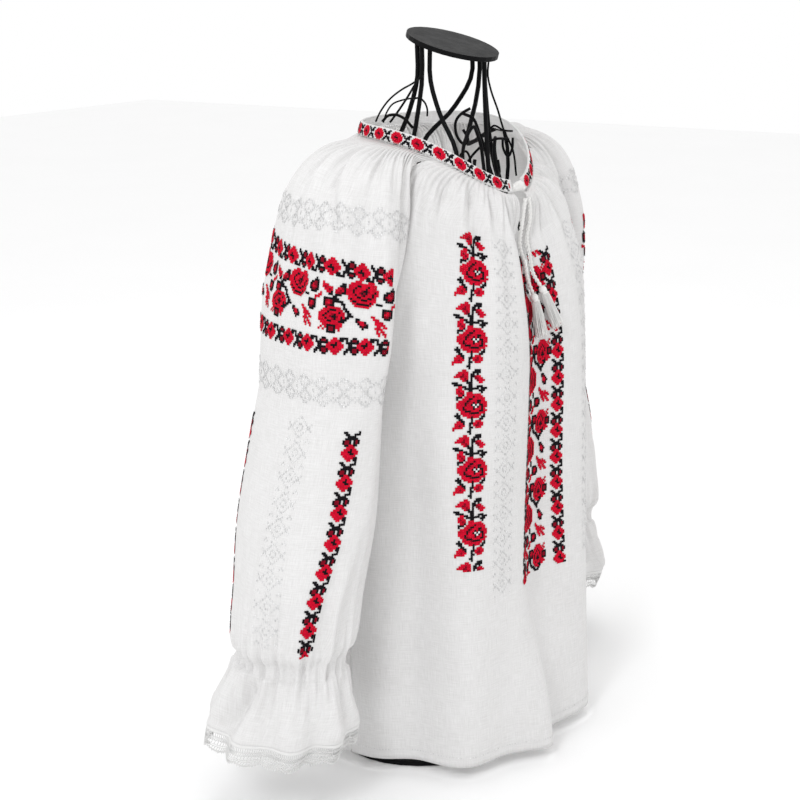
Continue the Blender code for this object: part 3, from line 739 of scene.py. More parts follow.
def back(across, fall):
    gathers = neck_gathers(across, fall, BACK_GATHERS)
    below_band = ease(fall, 0.0, 0.08)
    folds = long_folds(across, fall, BACK_FOLDS) + creases(across, fall, BACK_CREASES) * below_band
    depth = (gathers + folds) * away_from_seams(across)
    depth = depth + fine_gathers(across, fall, 46, 1.9) + turned_hem(fall, 2.0, ARMPIT_Z - HEM_Z)
    return raised(back_base, depth, across, fall)


back_cloth, back_cut = woven("back_cloth", back, FRONT_GRID, white_cotton.material)
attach(back_cloth, "root")
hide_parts("back")

# The sleeves
# Each is one width of cotton, gathered into the band at the shoulder. It hangs
# straight, is drawn in at the wrist by rows of running stitches, and runs on as a
# fluted frill.

WRIST_Z = 0.160
FRILL_END_Z = 0.096
LACE_END_Z = 0.072
# height, centre_x, centre_y, half_width, half_depth
SLEEVE =np.array(
    (
        (LACE_END_Z, 0.2700, 0.028, 0.0690, 0.076),
        (FRILL_END_Z, 0.2725, 0.022, 0.0640, 0.078),
        (0.125, 0.2710, 0.018, 0.0550, 0.071),
        (0.147, 0.2680, 0.016, 0.0480, 0.064),
        (WRIST_Z, 0.2660, 0.015, 0.0440, 0.060),
        (0.178, 0.2620, 0.013, 0.0530, 0.063),
        (0.235, 0.2500, 0.011, 0.0610, 0.067),
        (0.300, 0.2330, 0.011, 0.0580, 0.075),
        (0.370, 0.2150, 0.012, 0.0490, 0.075),
        (ARMPIT_Z, 0.2015, 0.012, 0.0395, 0.073),
    )
)
SLEEVE_GATHERS = 12
WRIST_GATHERS = 24
FRILL_FLUTES = 9
WRIST_GATHER_DEPTH = 0.0040
FRILL_FLUTE_DEPTH = 0.013
SLEEVE_RIDGE_DEPTH = 0.012
PINCH_FALL = 1.958
PINCH_DEPTH = 0.0058
SLIM_DEPTH = 0.012
FRILL_CREASES = (
    (0.04, 2.02, 0.06, 2.50, 0.010, -0.0080),
    (0.06, 2.20, 0.10, 2.90, 0.018, -0.0110),
    (-0.16, 2.02, -0.18, 2.95, 0.010, 0.0046),
    (-0.07, 2.02, -0.05, 2.60, 0.009, -0.0070),
    (-0.28, 2.02, -0.30, 2.60, 0.008, -0.0040),
    (-0.40, 2.02, -0.44, 2.90, 0.012, 0.0044),
    (-0.54, 2.02, -0.56, 2.70, 0.010, -0.0050),
    (0.18, 2.02, 0.20, 2.80, 0.012, 0.0048),
    (0.32, 2.02, 0.34, 2.70, 0.010, -0.0050),
    (0.48, 2.02, 0.52, 2.80, 0.012, 0.0040),
    (0.66, 2.02, 0.70, 2.80, 0.011, -0.0050),
    (0.86, 2.02, 0.88, 2.80, 0.012, 0.0040),
    (-0.72, 2.02, -0.76, 2.80, 0.012, 0.0040),
    (-0.90, 2.02, -0.92, 2.70, 0.010, -0.0046),
)
SLEEVE_CREASES = (
    (-0.03, 0.05, -0.065, 0.25, 0.010, -0.0070),
    (-0.065, 0.25, -0.19, 0.53, 0.010, -0.0066),
    (-0.10, 0.06, -0.20, 0.50, 0.024, 0.0040),
    (-0.26, 0.04, -0.33, 0.18, 0.018, -0.0046),
    (-0.385, 0.20, -0.44, 0.58, 0.022, 0.0056),
    (-0.44, 0.58, -0.56, 0.92, 0.024, 0.0040),
    (-0.62, 0.14, -0.66, 0.50, 0.024, -0.0068),
    (-0.66, 0.50, -0.76, 0.86, 0.026, -0.0060),
    (-0.84, 0.04, -0.86, 0.40, 0.016, 0.0036),
    (-0.50, 0.02, -0.56, 0.22, 0.014, 0.0034),
    (0.06, 0.03, 0.05, 0.40, 0.016, 0.0034),
    (0.16, 0.03, 0.18, 0.52, 0.014, -0.0040),
    (0.30, 0.03, 0.33, 0.44, 0.018, 0.0038),
    (0.44, 0.03, 0.50, 0.62, 0.020, -0.0048),
    (0.60, 0.03, 0.66, 0.50, 0.020, 0.0042),
    (0.78, 0.03, 0.80, 0.80, 0.024, -0.0048),
    (-0.44, 1.00, -0.36, 1.50, 0.034, -0.0034),
    (-0.18, 0.86, -0.14, 1.40, 0.034, 0.0026),
    (-0.16, 1.20, -0.20, 1.92, 0.026, 0.0030),
    (0.10, 0.90, 0.14, 1.86, 0.030, -0.0030),
    (0.40, 1.00, 0.36, 1.90, 0.028, 0.0036),
    (-0.62, 1.00, -0.58, 1.88, 0.030, -0.0044),
    (0.70, 1.10, 0.68, 1.90, 0.030, -0.0038),
    (-0.34, 1.55, -0.30, 1.97, 0.014, -0.0036),
    (-0.40, 1.62, -0.36, 1.97, 0.012, 0.0034),
    (-0.48, 1.50, -0.44, 1.97, 0.014, -0.0036),
    (-0.08, 1.66, -0.07, 1.97, 0.013, -0.0032),
    (0.04, 1.60, 0.04, 1.97, 0.013, 0.0030),
    (0.22, 1.58, 0.20, 1.97, 0.014, -0.0034),
    (0.56, 1.56, 0.54, 1.97, 0.016, 0.0034),
    (0.84, 1.60, 0.82, 1.97, 0.016, -0.0034),
)


def sleeve_ring(angle, height):
    """The left sleeve's outline. The angle is 0 outside and grows towards the back."""
    x = through(height, SLEEVE, 1) + through(height, SLEEVE, 3) * np.cos(angle)
    y = through(height, SLEEVE, 2) + through(height, SLEEVE, 4) * np.sin(angle)
    return np.stack([x, y, height + 0 * x], -1)


def sleeve_base(across, fall):
    """The left sleeve, frill and lace, from the front seam round to the back one."""
    across, fall = np.broadcast_arrays(across, fall)
    top = np.clip(fall, 0, 1)
    stops = (ARMPIT_Z, WRIST_Z, FRILL_END_Z, LACE_END_Z)
    height = np.interp(fall, (1, 2, 3, 4), stops)
    middle = (FRONT_SEAM_ANGLE + BACK_SEAM_ANGLE) / 2
    half = (BACK_SEAM_ANGLE - FRONT_SEAM_ANGLE) / 2 - SEAM_SPREAD / 2 / NECK_HALF_WIDTH
    neck_angle = middle + across * half
    ring = sleeve_ring(across * math.pi, height)
    surface = over_shoulder(neck_point(neck_angle), ring, neck_angle, top)
    front_side = np.clip(-across, 0, 1) ** 2
    back_side = np.clip(across, 0, 1) ** 2
    spread = SEAM_SPREAD * ease(top, 0, 0.2) * (1 - ease(top, 0.9, 1))
    surface[..., 0] += spread * (front_side + back_side)
    surface[..., 1] += seam_bow(top) * (BACK_BOW * back_side - FRONT_BOW * front_side)
    return surface


def sleeve(across, fall):
    neck = neck_gathers(across, fall, SLEEVE_GATHERS) * away_from_seams(across)
    near_wrist = bump(fall, 2.0, 0.26, 0.42)
    wrist = WRIST_GATHER_DEPTH * near_wrist * pleat(across, WRIST_GATHERS)
    drawn = bump(fall, PINCH_FALL, 0.12, 0.50) * pleat(across + 0.010 * np.sin(9 * across), 40)
    tight = 0.0034 * (drawn - 0.5 * bump(fall, PINCH_FALL, 0.12, 0.50)) * uneven(across, 4.0)
    pinch = -PINCH_DEPTH * bump(fall - 0.016 * np.sin(math.pi * across), PINCH_FALL, 0.026, 0.050)
    slim = -SLIM_DEPTH * bump(fall, 0.56, 0.22, 0.26) * bump(across, 0.15, 0.42, 0.50)
    crest = ease(fall, 0.2, 0.5) * (1 - ease(fall, 0.7, 1.2))
    ridge = SLEEVE_RIDGE_DEPTH * bump(across, -0.12, 0.10, 0.16) * crest
    fluted = FRILL_FLUTE_DEPTH * ease(fall, 2.02, 2.95) * uneven(across, 0.6)
    flutes = fluted * (pleat(across, FRILL_FLUTES) - 0.35)
    tube_part = 1 - ease(fall, 1.96, 2.1)
    soft = creases(across, fall, SLEEVE_CREASES) * away_from_seams(across) * tube_part * ease(fall, 0.0, 0.08)
    soft = soft + creases(across, fall, FRILL_CREASES, 0.20) * ease(fall, 2.0, 2.1)
    small = fine_gathers(across, fall, 34, 3.1)
    edge = turned_hem(fall, 3.0, WRIST_Z - FRILL_END_Z) * (fall < 3.01)
    depth = neck + wrist + tight + ridge + flutes + soft + small + edge + pinch + slim
    return raised(sleeve_base, depth, across, fall)


SLEEVE_GRID = (
    (0.00, 0.40, 34, 288),
    (0.42, 1.00, 30, 288),
    (1.02, 1.98, 46, 288),
    (2.00, 3.00, 38, 288),
)
sleeve_cloths, sleeve_cuts = {}, {}
for word, side in (("right", -1), ("left", 1)):
    cloth, cut = woven(f"sleeve_{word}_cloth", sleeve, SLEEVE_GRID, white_cotton.material, side, ring_from=1)
    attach(cloth, "root")
    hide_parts(f"sleeve_{word}")
    sleeve_cloths[word], sleeve_cuts[word] = cloth, cut

# The lace
# A strip of machine-made cotton lace is sewn to each frill's edge: a tape above, rows
# of net and little rings, and a scalloped edge with picots. It is made of threads, so
# its holes are open.

LACE_SCALLOPS = 20
SCALLOP_DEPTH = 0.004
LACE_THREAD = 0.00042
# Each line of the pattern is drawn for one scallop: across it runs from 0 to 1, and
# down it from 0 at the frill to 1 at the edge.
LACE_LINES = (
    tuple((i / 12, 0.13) for i in range(13)),
    tuple((i / 12, 0.30) for i in range(13)),
    tuple((i / 12, 0.30 + 0.17 * (i % 2)) for i in range(13)),
    tuple((i / 12, 0.47 - 0.17 * (i % 2)) for i in range(13)),
    tuple((i / 12, 0.48) for i in range(13)),
    tuple((i / 12, 0.60 + 0.10 * math.sin(math.pi * i / 12)) for i in range(13)),
    tuple((i / 12, 0.66 + 0.12 * math.sin(math.pi * i / 12)) for i in range(13)),
    tuple((i / 16, 0.76 + 0.20 * math.sin(math.pi * i / 16)) for i in range(17)),
    tuple((i / 16, 0.80 + 0.20 * math.sin(math.pi * i / 16)) for i in range(17)),
    *(((i / 12, 0.13), (i / 12, 0.30)) for i in range(12)),
    *(((i / 8, 0.48), (i / 8 + 0.04, 0.60 + 0.10 * math.sin(math.pi * (i / 8 + 0.04)))) for i in range(8)),
    *(
        (
            (i / 10, 0.67 + 0.12 * math.sin(math.pi * i / 10)),
            (i / 10 + 0.05, 0.76 + 0.20 * math.sin(math.pi * (i / 10 + 0.05))),
        )
        for i in range(10)
    ),
)
PICOTS = 9


def lace(across, fall):
    surface = sleeve(across, fall)
    between = 1 - np.abs(np.cos(math.pi * (across + 1) / 2 * LACE_SCALLOPS))
    surface[..., 2] += SCALLOP_DEPTH * between * ease(fall, 3.5, 4.0)
    return surface


def threads_tree(name, material):
    """Nodes that turn every edge of a mesh into a round thread."""
    tree = bpy.data.node_groups.new(name, "GeometryNodeTree")
    tree.interface.new_socket("Geometry", in_out="INPUT", socket_type="NodeSocketGeometry")
    tree.interface.new_socket("Thread radius", in_out="INPUT", socket_type="NodeSocketFloat")
    tree.interface.new_socket("Geometry", in_out="OUTPUT", socket_type="NodeSocketGeometry")
    inputs = tree.nodes.new("NodeGroupInput")
    to_curve = tree.nodes.new("GeometryNodeMeshToCurve")
    ring = tree.nodes.new("GeometryNodeCurvePrimitiveCircle")
    ring.inputs["Resolution"].default_value = 4
    to_mesh = tree.nodes.new("GeometryNodeCurveToMesh")
    to_mesh.inputs["Fill Caps"].default_value = True
    smooth = tree.nodes.new("GeometryNodeSetShadeSmooth")
    realize = tree.nodes.new("GeometryNodeRealizeInstances")
    paint = tree.nodes.new("GeometryNodeSetMaterial")
    paint.inputs["Material"].default_value = material
    output = tree.nodes.new("NodeGroupOutput")
    for source, target in (
        (inputs.outputs["Geometry"], to_curve.inputs["Mesh"]),
        (inputs.outputs["Thread radius"], ring.inputs["Radius"]),
        (to_curve.outputs["Curve"], to_mesh.inputs["Curve"]),
        (ring.outputs["Curve"], to_mesh.inputs["Profile Curve"]),
        (to_mesh.outputs["Mesh"], smooth.inputs["Geometry"]),
        (smooth.outputs["Geometry"], realize.inputs["Geometry"]),
        (realize.outputs["Geometry"], paint.inputs["Geometry"]),
        (paint.outputs["Geometry"], output.inputs["Geometry"]),
    ):
        tree.links.new(source, target)
    return tree


def grown(name, mesh, tree, sizes, material):
    """The plain mesh that a tree of nodes makes from a mesh."""
    thing = add_piece(name, mesh, material)
    modifier = thing.modifiers.new("made", "NODES")
    modifier.node_group = tree
    for item in tree.interface.items_tree:
        if item.in_out == "INPUT" and item.name in sizes:
            modifier[item.identifier] = sizes[item.name]
    return plain_mesh(thing)


lace_cotton = Paint("cotton lace", {"Roughness": 0.9, "Sheen Weight": 0.1, "Specular IOR Level": 0.25})
place = lace_cotton.node("ShaderNodeTexCoord", {}, output="Object")
grain = lace_cotton.noise(place, 900, 2)
lace_cotton.wear("Base Color", lace_cotton.blend(grain, (0.66, 0.657, 0.65, 1), (0.78, 0.777, 0.77, 1)))
lace_cotton.wear("Normal", lace_cotton.bump(grain, 0.0002, 0.6))
lace_tree = threads_tree("lace threads", lace_cotton.material)

for word, side in (("right", -1), ("left", 1)):
    spots, edges = [], []
    for scallop in range(LACE_SCALLOPS):
        lines = list(LACE_LINES)
        for i in range(PICOTS):
            start = 0.06 + 0.88 * i / (PICOTS - 1)
            depth = 0.80 + 0.20 * math.sin(math.pi * start)
            lines.append(((start - 0.035, depth - 0.01), (start, depth + 0.07), (start + 0.035, depth - 0.01)))
        for line in lines:
            first = len(spots)
            for x, y in line:
                across = (scallop + x) * 2 / LACE_SCALLOPS - 1
                spots.append((across - 2 * (across > 1), 3.02 + 0.96 * y))
            edges += [(first + i, first + i + 1) for i in range(len(line) - 1)]
    spots = np.array(spots)
    points = sleeve(spots[:, 0], spots[:, 1])
    points = points * np.array([side, 1, 1]) + MIDDLE
    mesh = bpy.data.meshes.new("lace")
    mesh.from_pydata(points.tolist(), edges, [])
    net = grown(f"lace_{word}_net", mesh, lace_tree, {"Thread radius": LACE_THREAD}, lace_cotton.material)
    tape, _ = woven(f"lace_{word}_tape", sleeve, ((3.0, 3.13, 4, 160),), lace_cotton.material, side, ring_from=1)
    for piece in (net, tape):
        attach(piece, "root")
    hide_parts(f"lace_{word}")

# The neck band
# A narrow strip of the same cotton, folded over the gathered edges and sewn down. It
# is open at the slit, and its two ends carry the ties.

BAND_HEIGHT = 0.013
BAND_LEAN = 0.004
BAND_THICKNESS = 0.0024
BAND_TURNS = 240


def band_point(angle, up):
    """The middle of the band's thickness; up is 0 at its lower edge and 1 at its upper."""
    low = neck_point(angle) + np.array([0, 0, 0.00115])
    inward = np.stack([-np.sin(angle), np.cos(angle), 0 * angle], -1)
    belly = 0.0007 * (1 - (2 * up - 1) ** 2)
    up = np.asarray(up)[..., None]
    return low + inward * (BAND_LEAN * up - belly[..., None]) + up * np.array([0, 0, BAND_HEIGHT])


def band_normal(angle):
    outward = np.stack([np.sin(angle), -np.cos(angle), 0 * angle], -1) * BAND_HEIGHT
    lift = np.stack([0 * angle, 0 * angle, BAND_LEAN + 0 * angle], -1)
    normal = outward + lift
    return normal / np.linalg.norm(normal, axis=-1, keepdims=True)


opening = (SLIT_HALF_WIDTH + SEAM_GAP) / NECK_HALF_WIDTH
angles = np.linspace(opening, 2 * math.pi - opening, BAND_TURNS + 1)
ups = np.array([0.0, 0.06, 0.13, 0.17, 0.5, 0.83, 0.87, 0.94, 1.0])
bulge = np.array([0.30, 0.62, 0.62, 0.46, 0.48, 0.46, 0.62, 0.62, 0.30])
around = [(up, out) for up, out in zip(ups, bulge)] + [(up, -out) for up, out in zip(ups[::-1], bulge[::-1])]
rings = np.stack(
    [band_point(angles, np.full_like(angles, up)) + band_normal(angles) * BAND_THICKNESS * out for up, out in around], 1
)
count = len(around)
shape = bmesh.new()
verts = [[shape.verts.new(point) for point in ring] for ring in rings + MIDDLE]
for one, two in zip(verts, verts[1:]):
    for i in range(count):
        k = (i + 1) % count
        shape.faces.new((one[i], one[k], two[k], two[i]))
shape.faces.new(verts[0][::-1])
shape.faces.new(verts[-1])
bmesh.ops.recalc_face_normals(shape, faces=shape.faces)
mesh = bpy.data.meshes.new("band")
shape.to_mesh(mesh)
shape.free()
layer = mesh.uv_layers.new(name="cloth")
run = np.repeat(angles * NECK_HALF_WIDTH, count)
rise = np.tile([up * BAND_HEIGHT for up, _ in around], BAND_TURNS + 1)
for loop in mesh.loops:
    layer.data[loop.index].uv = (run[loop.vertex_index], rise[loop.vertex_index])
mesh.shade_smooth()
band = add_piece("neck_band_strip", mesh, white_cotton.material)
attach(band, "root")
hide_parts("neck_band")

# The ties
# Two cords, each twisted from two strands of thick white cotton thread. They leave
# the ends of the band under one knot and hang on the front, each with a tassel.

TIE_RADIUS = 0.0022
TWIST_LENGTH = 0.0085
CORD_RINGS = 110
CORD_SIDES = 16
# across, fall, stand_off
TIES = {
    "right": (
        (-0.030, 0.04, 0.0024),
        (-0.036, 0.15, 0.0006),
        (-0.036, 0.27, 0.0030),
        (-0.036, 0.39, 0.0016),
        (-0.050, 0.51, 0.0031),
        (-0.072, 0.60, 0.0069),
        (-0.040, 0.84, 0.0105),
    ),
    "left": (
        (0.030, 0.04, 0.0024),
        (0.060, 0.13, 0.0000),
        (0.060, 0.25, 0.0006),
        (0.044, 0.37, -0.0006),
        (0.036, 0.48, 0.0004),
        (0.056, 0.57, 0.0052),
        (0.104, 0.81, 0.0098),
    ),
}
TASSEL_HEAD_RADIUS = 0.0042
TASSEL_HEAD_HEIGHT = 0.009
TASSEL_STRANDS = 90
PART_CLOTH = 0.0015


def front_calm(across, fall):
    """The front with its long folds and without its gathers."""
    return raised(front_base, long_folds(across, fall, FRONT_FOLDS), across, fall)


def frames_along(points):
    """Two directions square to a path at each of its points."""
    ways = np.gradient(points, axis=0)
    ways /= np.linalg.norm(ways, axis=1, keepdims=True)
    side = np.cross(ways, np.array([0.0, 1.0, 0.0]))
    side /= np.linalg.norm(side, axis=1, keepdims=True)
    return ways, side, np.cross(ways, side)


def tube_mesh(name, rings):
    """A closed tube through rings of points."""
    shape = bmesh.new()
    verts = [[shape.verts.new(point) for point in ring] for ring in rings]
    count = len(verts[0])
    for one, two in zip(verts, verts[1:]):
        for i in range(count):
            k = (i + 1) % count
            shape.faces.new((one[i], one[k], two[k], two[i]))
    shape.faces.new(verts[0][::-1])
    shape.faces.new(verts[-1])
    bmesh.ops.recalc_face_normals(shape, faces=shape.faces)
    mesh = bpy.data.meshes.new(name)
    shape.to_mesh(mesh)
    shape.free()
    mesh.shade_smooth()
    return mesh


cotton_thread = Paint("white thread", {"Roughness": 0.8, "Sheen Weight": 0.2})
place = cotton_thread.node("ShaderNodeTexCoord", {}, output="Object")
fibres = cotton_thread.noise(cotton_thread.stretched(place, (2600, 2600, 240)), 1, 3)
cotton_thread.wear("Base Color", cotton_thread.blend(fibres, (0.66, 0.655, 0.64, 1), (0.84, 0.835, 0.82, 1)))
cotton_thread.wear("Normal", cotton_thread.bump(fibres, 0.0002, 0.6))

for number, (word, table) in enumerate(TIES.items()):
    stops = np.array(table)
    stand_off = stops[:, 2] + PART_CLOTH / 2 + TIE_RADIUS
    *route, tip = raised(front_calm, stand_off, stops[:, 0], stops[:, 1]) + MIDDLE
    path = smooth_route(route, CORD_RINGS)
    length = float(np.linalg.norm(np.diff(path, axis=0), axis=1).sum())
    ways, sideways, forward = frames_along(path)
    turn = np.linspace(0, 2 * math.pi, CORD_SIDES, endpoint=False)
    rings = []
    for i, point in enumerate(path):
        lay = 2 * math.pi * i * length / CORD_RINGS / TWIST_LENGTH
        reach = TIE_RADIUS * (0.60 + 0.42 * np.abs(np.cos(turn - lay)) ** 1.4)
        ring = reach[:, None] * (np.cos(turn)[:, None] * sideways[i] + np.sin(turn)[:, None] * forward[i])
        rings.append(point + ring)
    cord = add_piece(f"tie_{word}", tube_mesh("tie", rings), cotton_thread.material)
    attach(cord, "root")
    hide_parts(f"tie_cord_{word}")

    axis = ways[-1]
    top = path[-1]
    root = top + axis * TASSEL_HEAD_HEIGHT
    profile = ((-0.002, 0.30), (0.0, 0.62), (0.25, 1.0), (0.5, 1.02), (0.72, 0.84), (0.80, 0.80), (0.9, 1.0), (1.0, 1.1), (1.04, 0.5))
    rings = []
    for down, wide in profile:
        centre = top + axis * (TASSEL_HEAD_HEIGHT * down)
        spoke = np.cos(turn)[:, None] * sideways[-1] + np.sin(turn)[:, None] * forward[-1]
        rings.append(centre + spoke * TASSEL_HEAD_RADIUS * wide)
    head = add_piece(f"tassel_head_{word}", tube_mesh("head", rings), cotton_thread.material)

    rng = np.random.default_rng(11 + number)
    spots, edges = [], []
    hang = tip - root
    for strand in range(TASSEL_STRANDS):
        angle = strand * 2.39996
        out = math.sqrt((strand + 0.5) / TASSEL_STRANDS)
        spoke = math.cos(angle) * sideways[-1] + math.sin(angle) * forward[-1]
        drift = rng.normal(0, 0.0009, 3)
        reach = 0.92 + 0.10 * rng.random()
        first = len(spots)
        for step in range(8):
            f = step / 7
            spread = TASSEL_HEAD_RADIUS * out * (0.95 + 0.75 * f**0.8 - 0.25 * f**3)
            spots.append(root - axis * 0.001 + hang * f * reach + spoke * spread + drift * f * f)
        edges += [(first + step, first + step + 1) for step in range(7)]
    mesh = bpy.data.meshes.new("strands")
    mesh.from_pydata([tuple(spot) for spot in spots], edges, [])
    strands_tree = threads_tree(f"tassel threads {word}", cotton_thread.material)
    skirt = grown(f"tassel_strands_{word}", mesh, strands_tree, {"Thread radius": 0.00042}, cotton_thread.material)
    for piece in (head, skirt):
        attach(piece, "root")
    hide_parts(f"tassel_{word}")

# The knot is the two cords crossed over each other and drawn tight across the slit.
knot_middle = neck_point(0.0) + np.array([0, 0, BAND_HEIGHT / 2 + PART_CLOTH / 2 + SEAM_GAP]) + MIDDLE
turns = np.linspace(0, 2 * math.pi, 61)[:-1]
knot = bent_wire(
    "knot_loops",
    [
        knot_middle
        + np.array([0.0078 * math.sin(t), -0.0022 * math.cos(3 * t), 0.0034 * math.sin(2 * t)])
        for t in turns
    ],
    0.0020,
    cotton_thread.material,
    closed=True,
)
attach(knot, "root")
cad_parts["tie_knot"].material_slots[0].material = cotton_thread.material

# The cross stitch
# It is worked in cotton floss by counting the threads of the cloth: red roses with
# dark red shading, and black stems, leaves and buds. Each X is two short bars of
# floss. The patterns are the common ones of this kind of blouse, drawn for it.

STITCH = 0.00215
FLOSS_COLOURS = {
    "r": (0.52, 0.003, 0.022),
    "d": (0.20, 0.002, 0.012),
    "k": (0.006, 0.005, 0.007),
    "w": (0.66, 0.66, 0.66),
}
# A small rose with two buds and a sprig, which repeats down the cloth.
SMALL_ROSE = (
    "kk.....k",
    ".kk..kkk",
    "..kkkk..",
    ".kkkkkk.",
    "kddk.kdk",
    "kddk.kdk",
    ".kkrrkk.",
    "..rrrr..",
    ".rrrkrr.",
    "rrrkkrrr",
    "rrrrkkrr",
    ".rrrrrr.",
    "..rrrrkk",
    "...rr.kk",
)
# A large rose on a stem with leaves and buds, for the two wide columns of the front.
LARGE_ROSE = (
    ".....rr....kkk...",
    "...rrrrr..kkkk...",
    "..rrrdrr.kk.k....",
    ".rrrddrr.kkdrr...",
    "....rrdr.k.ddrr..",
    ".....rdk.k..drrr.",
    "kkk....kkk...rr..",
    ".kkkk...kk.......",
    "...rrkk.kk..kkk..",
    "..rrr.kkkkkkk.kkk",
    "..rdrr..kk...kkk.",
    "..rrdr.rrr....k..",
    "...rrk.rrrrrrr...",
    "..kkk.rrrrkrrrr..",
    "..k..rrrkkrrrrrr.",
    "...rrrrkdrrrkkrr.",
    "..rrrrkdrrkrkdrrr",
    "..rrrrkrrkwkwkkrr",
    "..rrrkrrrrkwkrkrr",
    "...rrkdrrrkrrrkr.",
    "....rrkkkrrrrkkrr",
    "..k.rrrrdkkkkrrr.",
    ".kkk.rrrrrrrrr.k.",
    "..kk...rrkrrr.kk.",
    "...kk....k...kk..",
    "..rrkk...k.rrr...",
    ".rrrrk..kkrrdrr..",
    ".rrdrr..k.rddrr..",
    "rrrrr...kk.rrr...",
    "r.......k........",
    ".......kk........",
    "........k........",
)
# The wide band is put together from these, each drawn as it is seen on the band.
ROSE_HEAD = (
    "....rrr...rrr..",
    "..rrrrrrrrrrrr.",
    ".rrrrkkrrrkrrr.",
    ".rrrkrrrrkrrrrr",
    "rrrkrrrdkkdrrkr",
    "rrrkrrdkdkrrkrr",
    "rrrrkrrdkrrrkr.",
    ".rrrrkkrrrkkrr.",
    ".rkrrrrkkkrrrr.",
    "..rkkrrrrrrkr..",
    "...rrkkkkkkr...",
    "....rrrrrrr....",
)
ROSE_WITH_BUD = (
    "....rrrrrr..",
    "..rrrkkkrrr.",
    ".rrrkrrrrkrr",
    "rrrkrrdkrrrr",
    "rrkrrdkkdrkr",
    "rrrkrrdkrrkr",
    "rrrrkkrrrkrr",
    ".rrrrrrrrrr.",
    "..rrkkkkrrr.",
    ".r.rkddkrr..",
    "r.r.kddk.r..",
    "....kkkk....",
)
LEAF_BUD = ("....k.", "...kkk", ".kkddk", "kkrddk", "kdrrdk", "kkddkk", ".kkkk.")
DARK_BUD = ("kkkkk", "kdrdk", "krrdk", "kddkk", ".kkk.")
RED_BUD = ("r....", "rrr..", "rdrrr", ".rrdr", "..rrk", "...kk")
DARK_LEAF = ("...kk", "..kkk", ".rrdk", "rrdrk", "rddkk", ".kk..")
RED_TWIG = ("...r", "..rr", "rrr.", "r...")
BENT_STEM = (
    "kk.......",
    ".kkk.....",
    "...kk....",
    "....k....",
    "....kk...",
    ".....kk..",
    "......kk.",
    "......kkk",
    ".....kk..",
    "....kk...",
    "..kkk....",
)
SHORT_STEM = ("..k", ".kk", "kk.", "kkk", "k..")
END_BUD = ("kk....", "kdrrk.", ".krrdk", "..kdkk", "...k..")
RED_SPRIG = (
    "rr......",
    ".rrr....",
    "..rrrr..",
    "..rrrrr.",
    "...rr.rr",
    "..rrrr..",
    "...r.rr.",
    "...rr.rr",
    "....r..r",
)
WIDE_BAND_SIZE = (36, 26)
# motif, along, down
WIDE_BAND_LAYOUT = (
    (LEAF_BUD, 0, 1),
    (DARK_BUD, 0, 11),
    (RED_TWIG, 4, 7),
    (RED_BUD, 8, 2),
    (SHORT_STEM, 12, 7),
    (DARK_LEAF, 14, 2),
    (DARK_BUD, 9, 9),
    (ROSE_WITH_BUD, 7, 13),
    (BENT_STEM, 14, 9),
    (ROSE_HEAD, 19, 0),
    (END_BUD, 24, 17),
    (RED_SPRIG, 31, 15),
    (("kkk",), 33, 9),
)
# The neck band's row of roses and black leaves.
BAND_ROSE = (
    "..rrr..",
    ".rrrrr.",
    "rrrdrrr",
    "rrdkrrr",
    "rrrkdrr",
    "rrrrrrr",
    ".rrrrr.",
    "k.rrr.k",
    "kk...kk",
    ".kk.kk.",
    "..kkk..",
    ".kk.kk.",
    "kkk.kkk",
    "k.....k",
)
# White floss on the white cloth: diamonds with a dotted edge.
WHITE_DIAMOND = (
    "......ww......",
    ".....w..w.....",
    "....w....w....",
    "w..w..ww..w..w",
    ".ww..w..w..ww.",
    ".ww..w..w..ww.",
    "w..w..ww..w..w",
    "....w....w....",
    ".....w..w.....",
    "......ww......",
    ".w..........w.",
    "w.w..w..w..w.w",
)
WHITE_RHOMB = (
    "...w......w...",
    "..www....www..",
    ".ww.ww..ww.ww.",
    "ww...wwww...ww",
    "w.w.w.ww.w.w.w",
    "ww...wwww...ww",
    ".ww.ww..ww.ww.",
    "..www....www..",
    "...w......w...",
    "..w.w.ww.w.w..",
)


def laid_out(size, layout):
    """A band's chart put together from motifs, as one row of marks for each place along it."""
    cells = [["."] * size[1] for _ in range(size[0])]
    for motif, along, down in layout:
        for y, row in enumerate(motif):
            for x, mark in enumerate(row):
                if mark != ".":
                    cells[(along + x) % size[0]][down + y] = mark
    return ["".join(row) for row in cells]


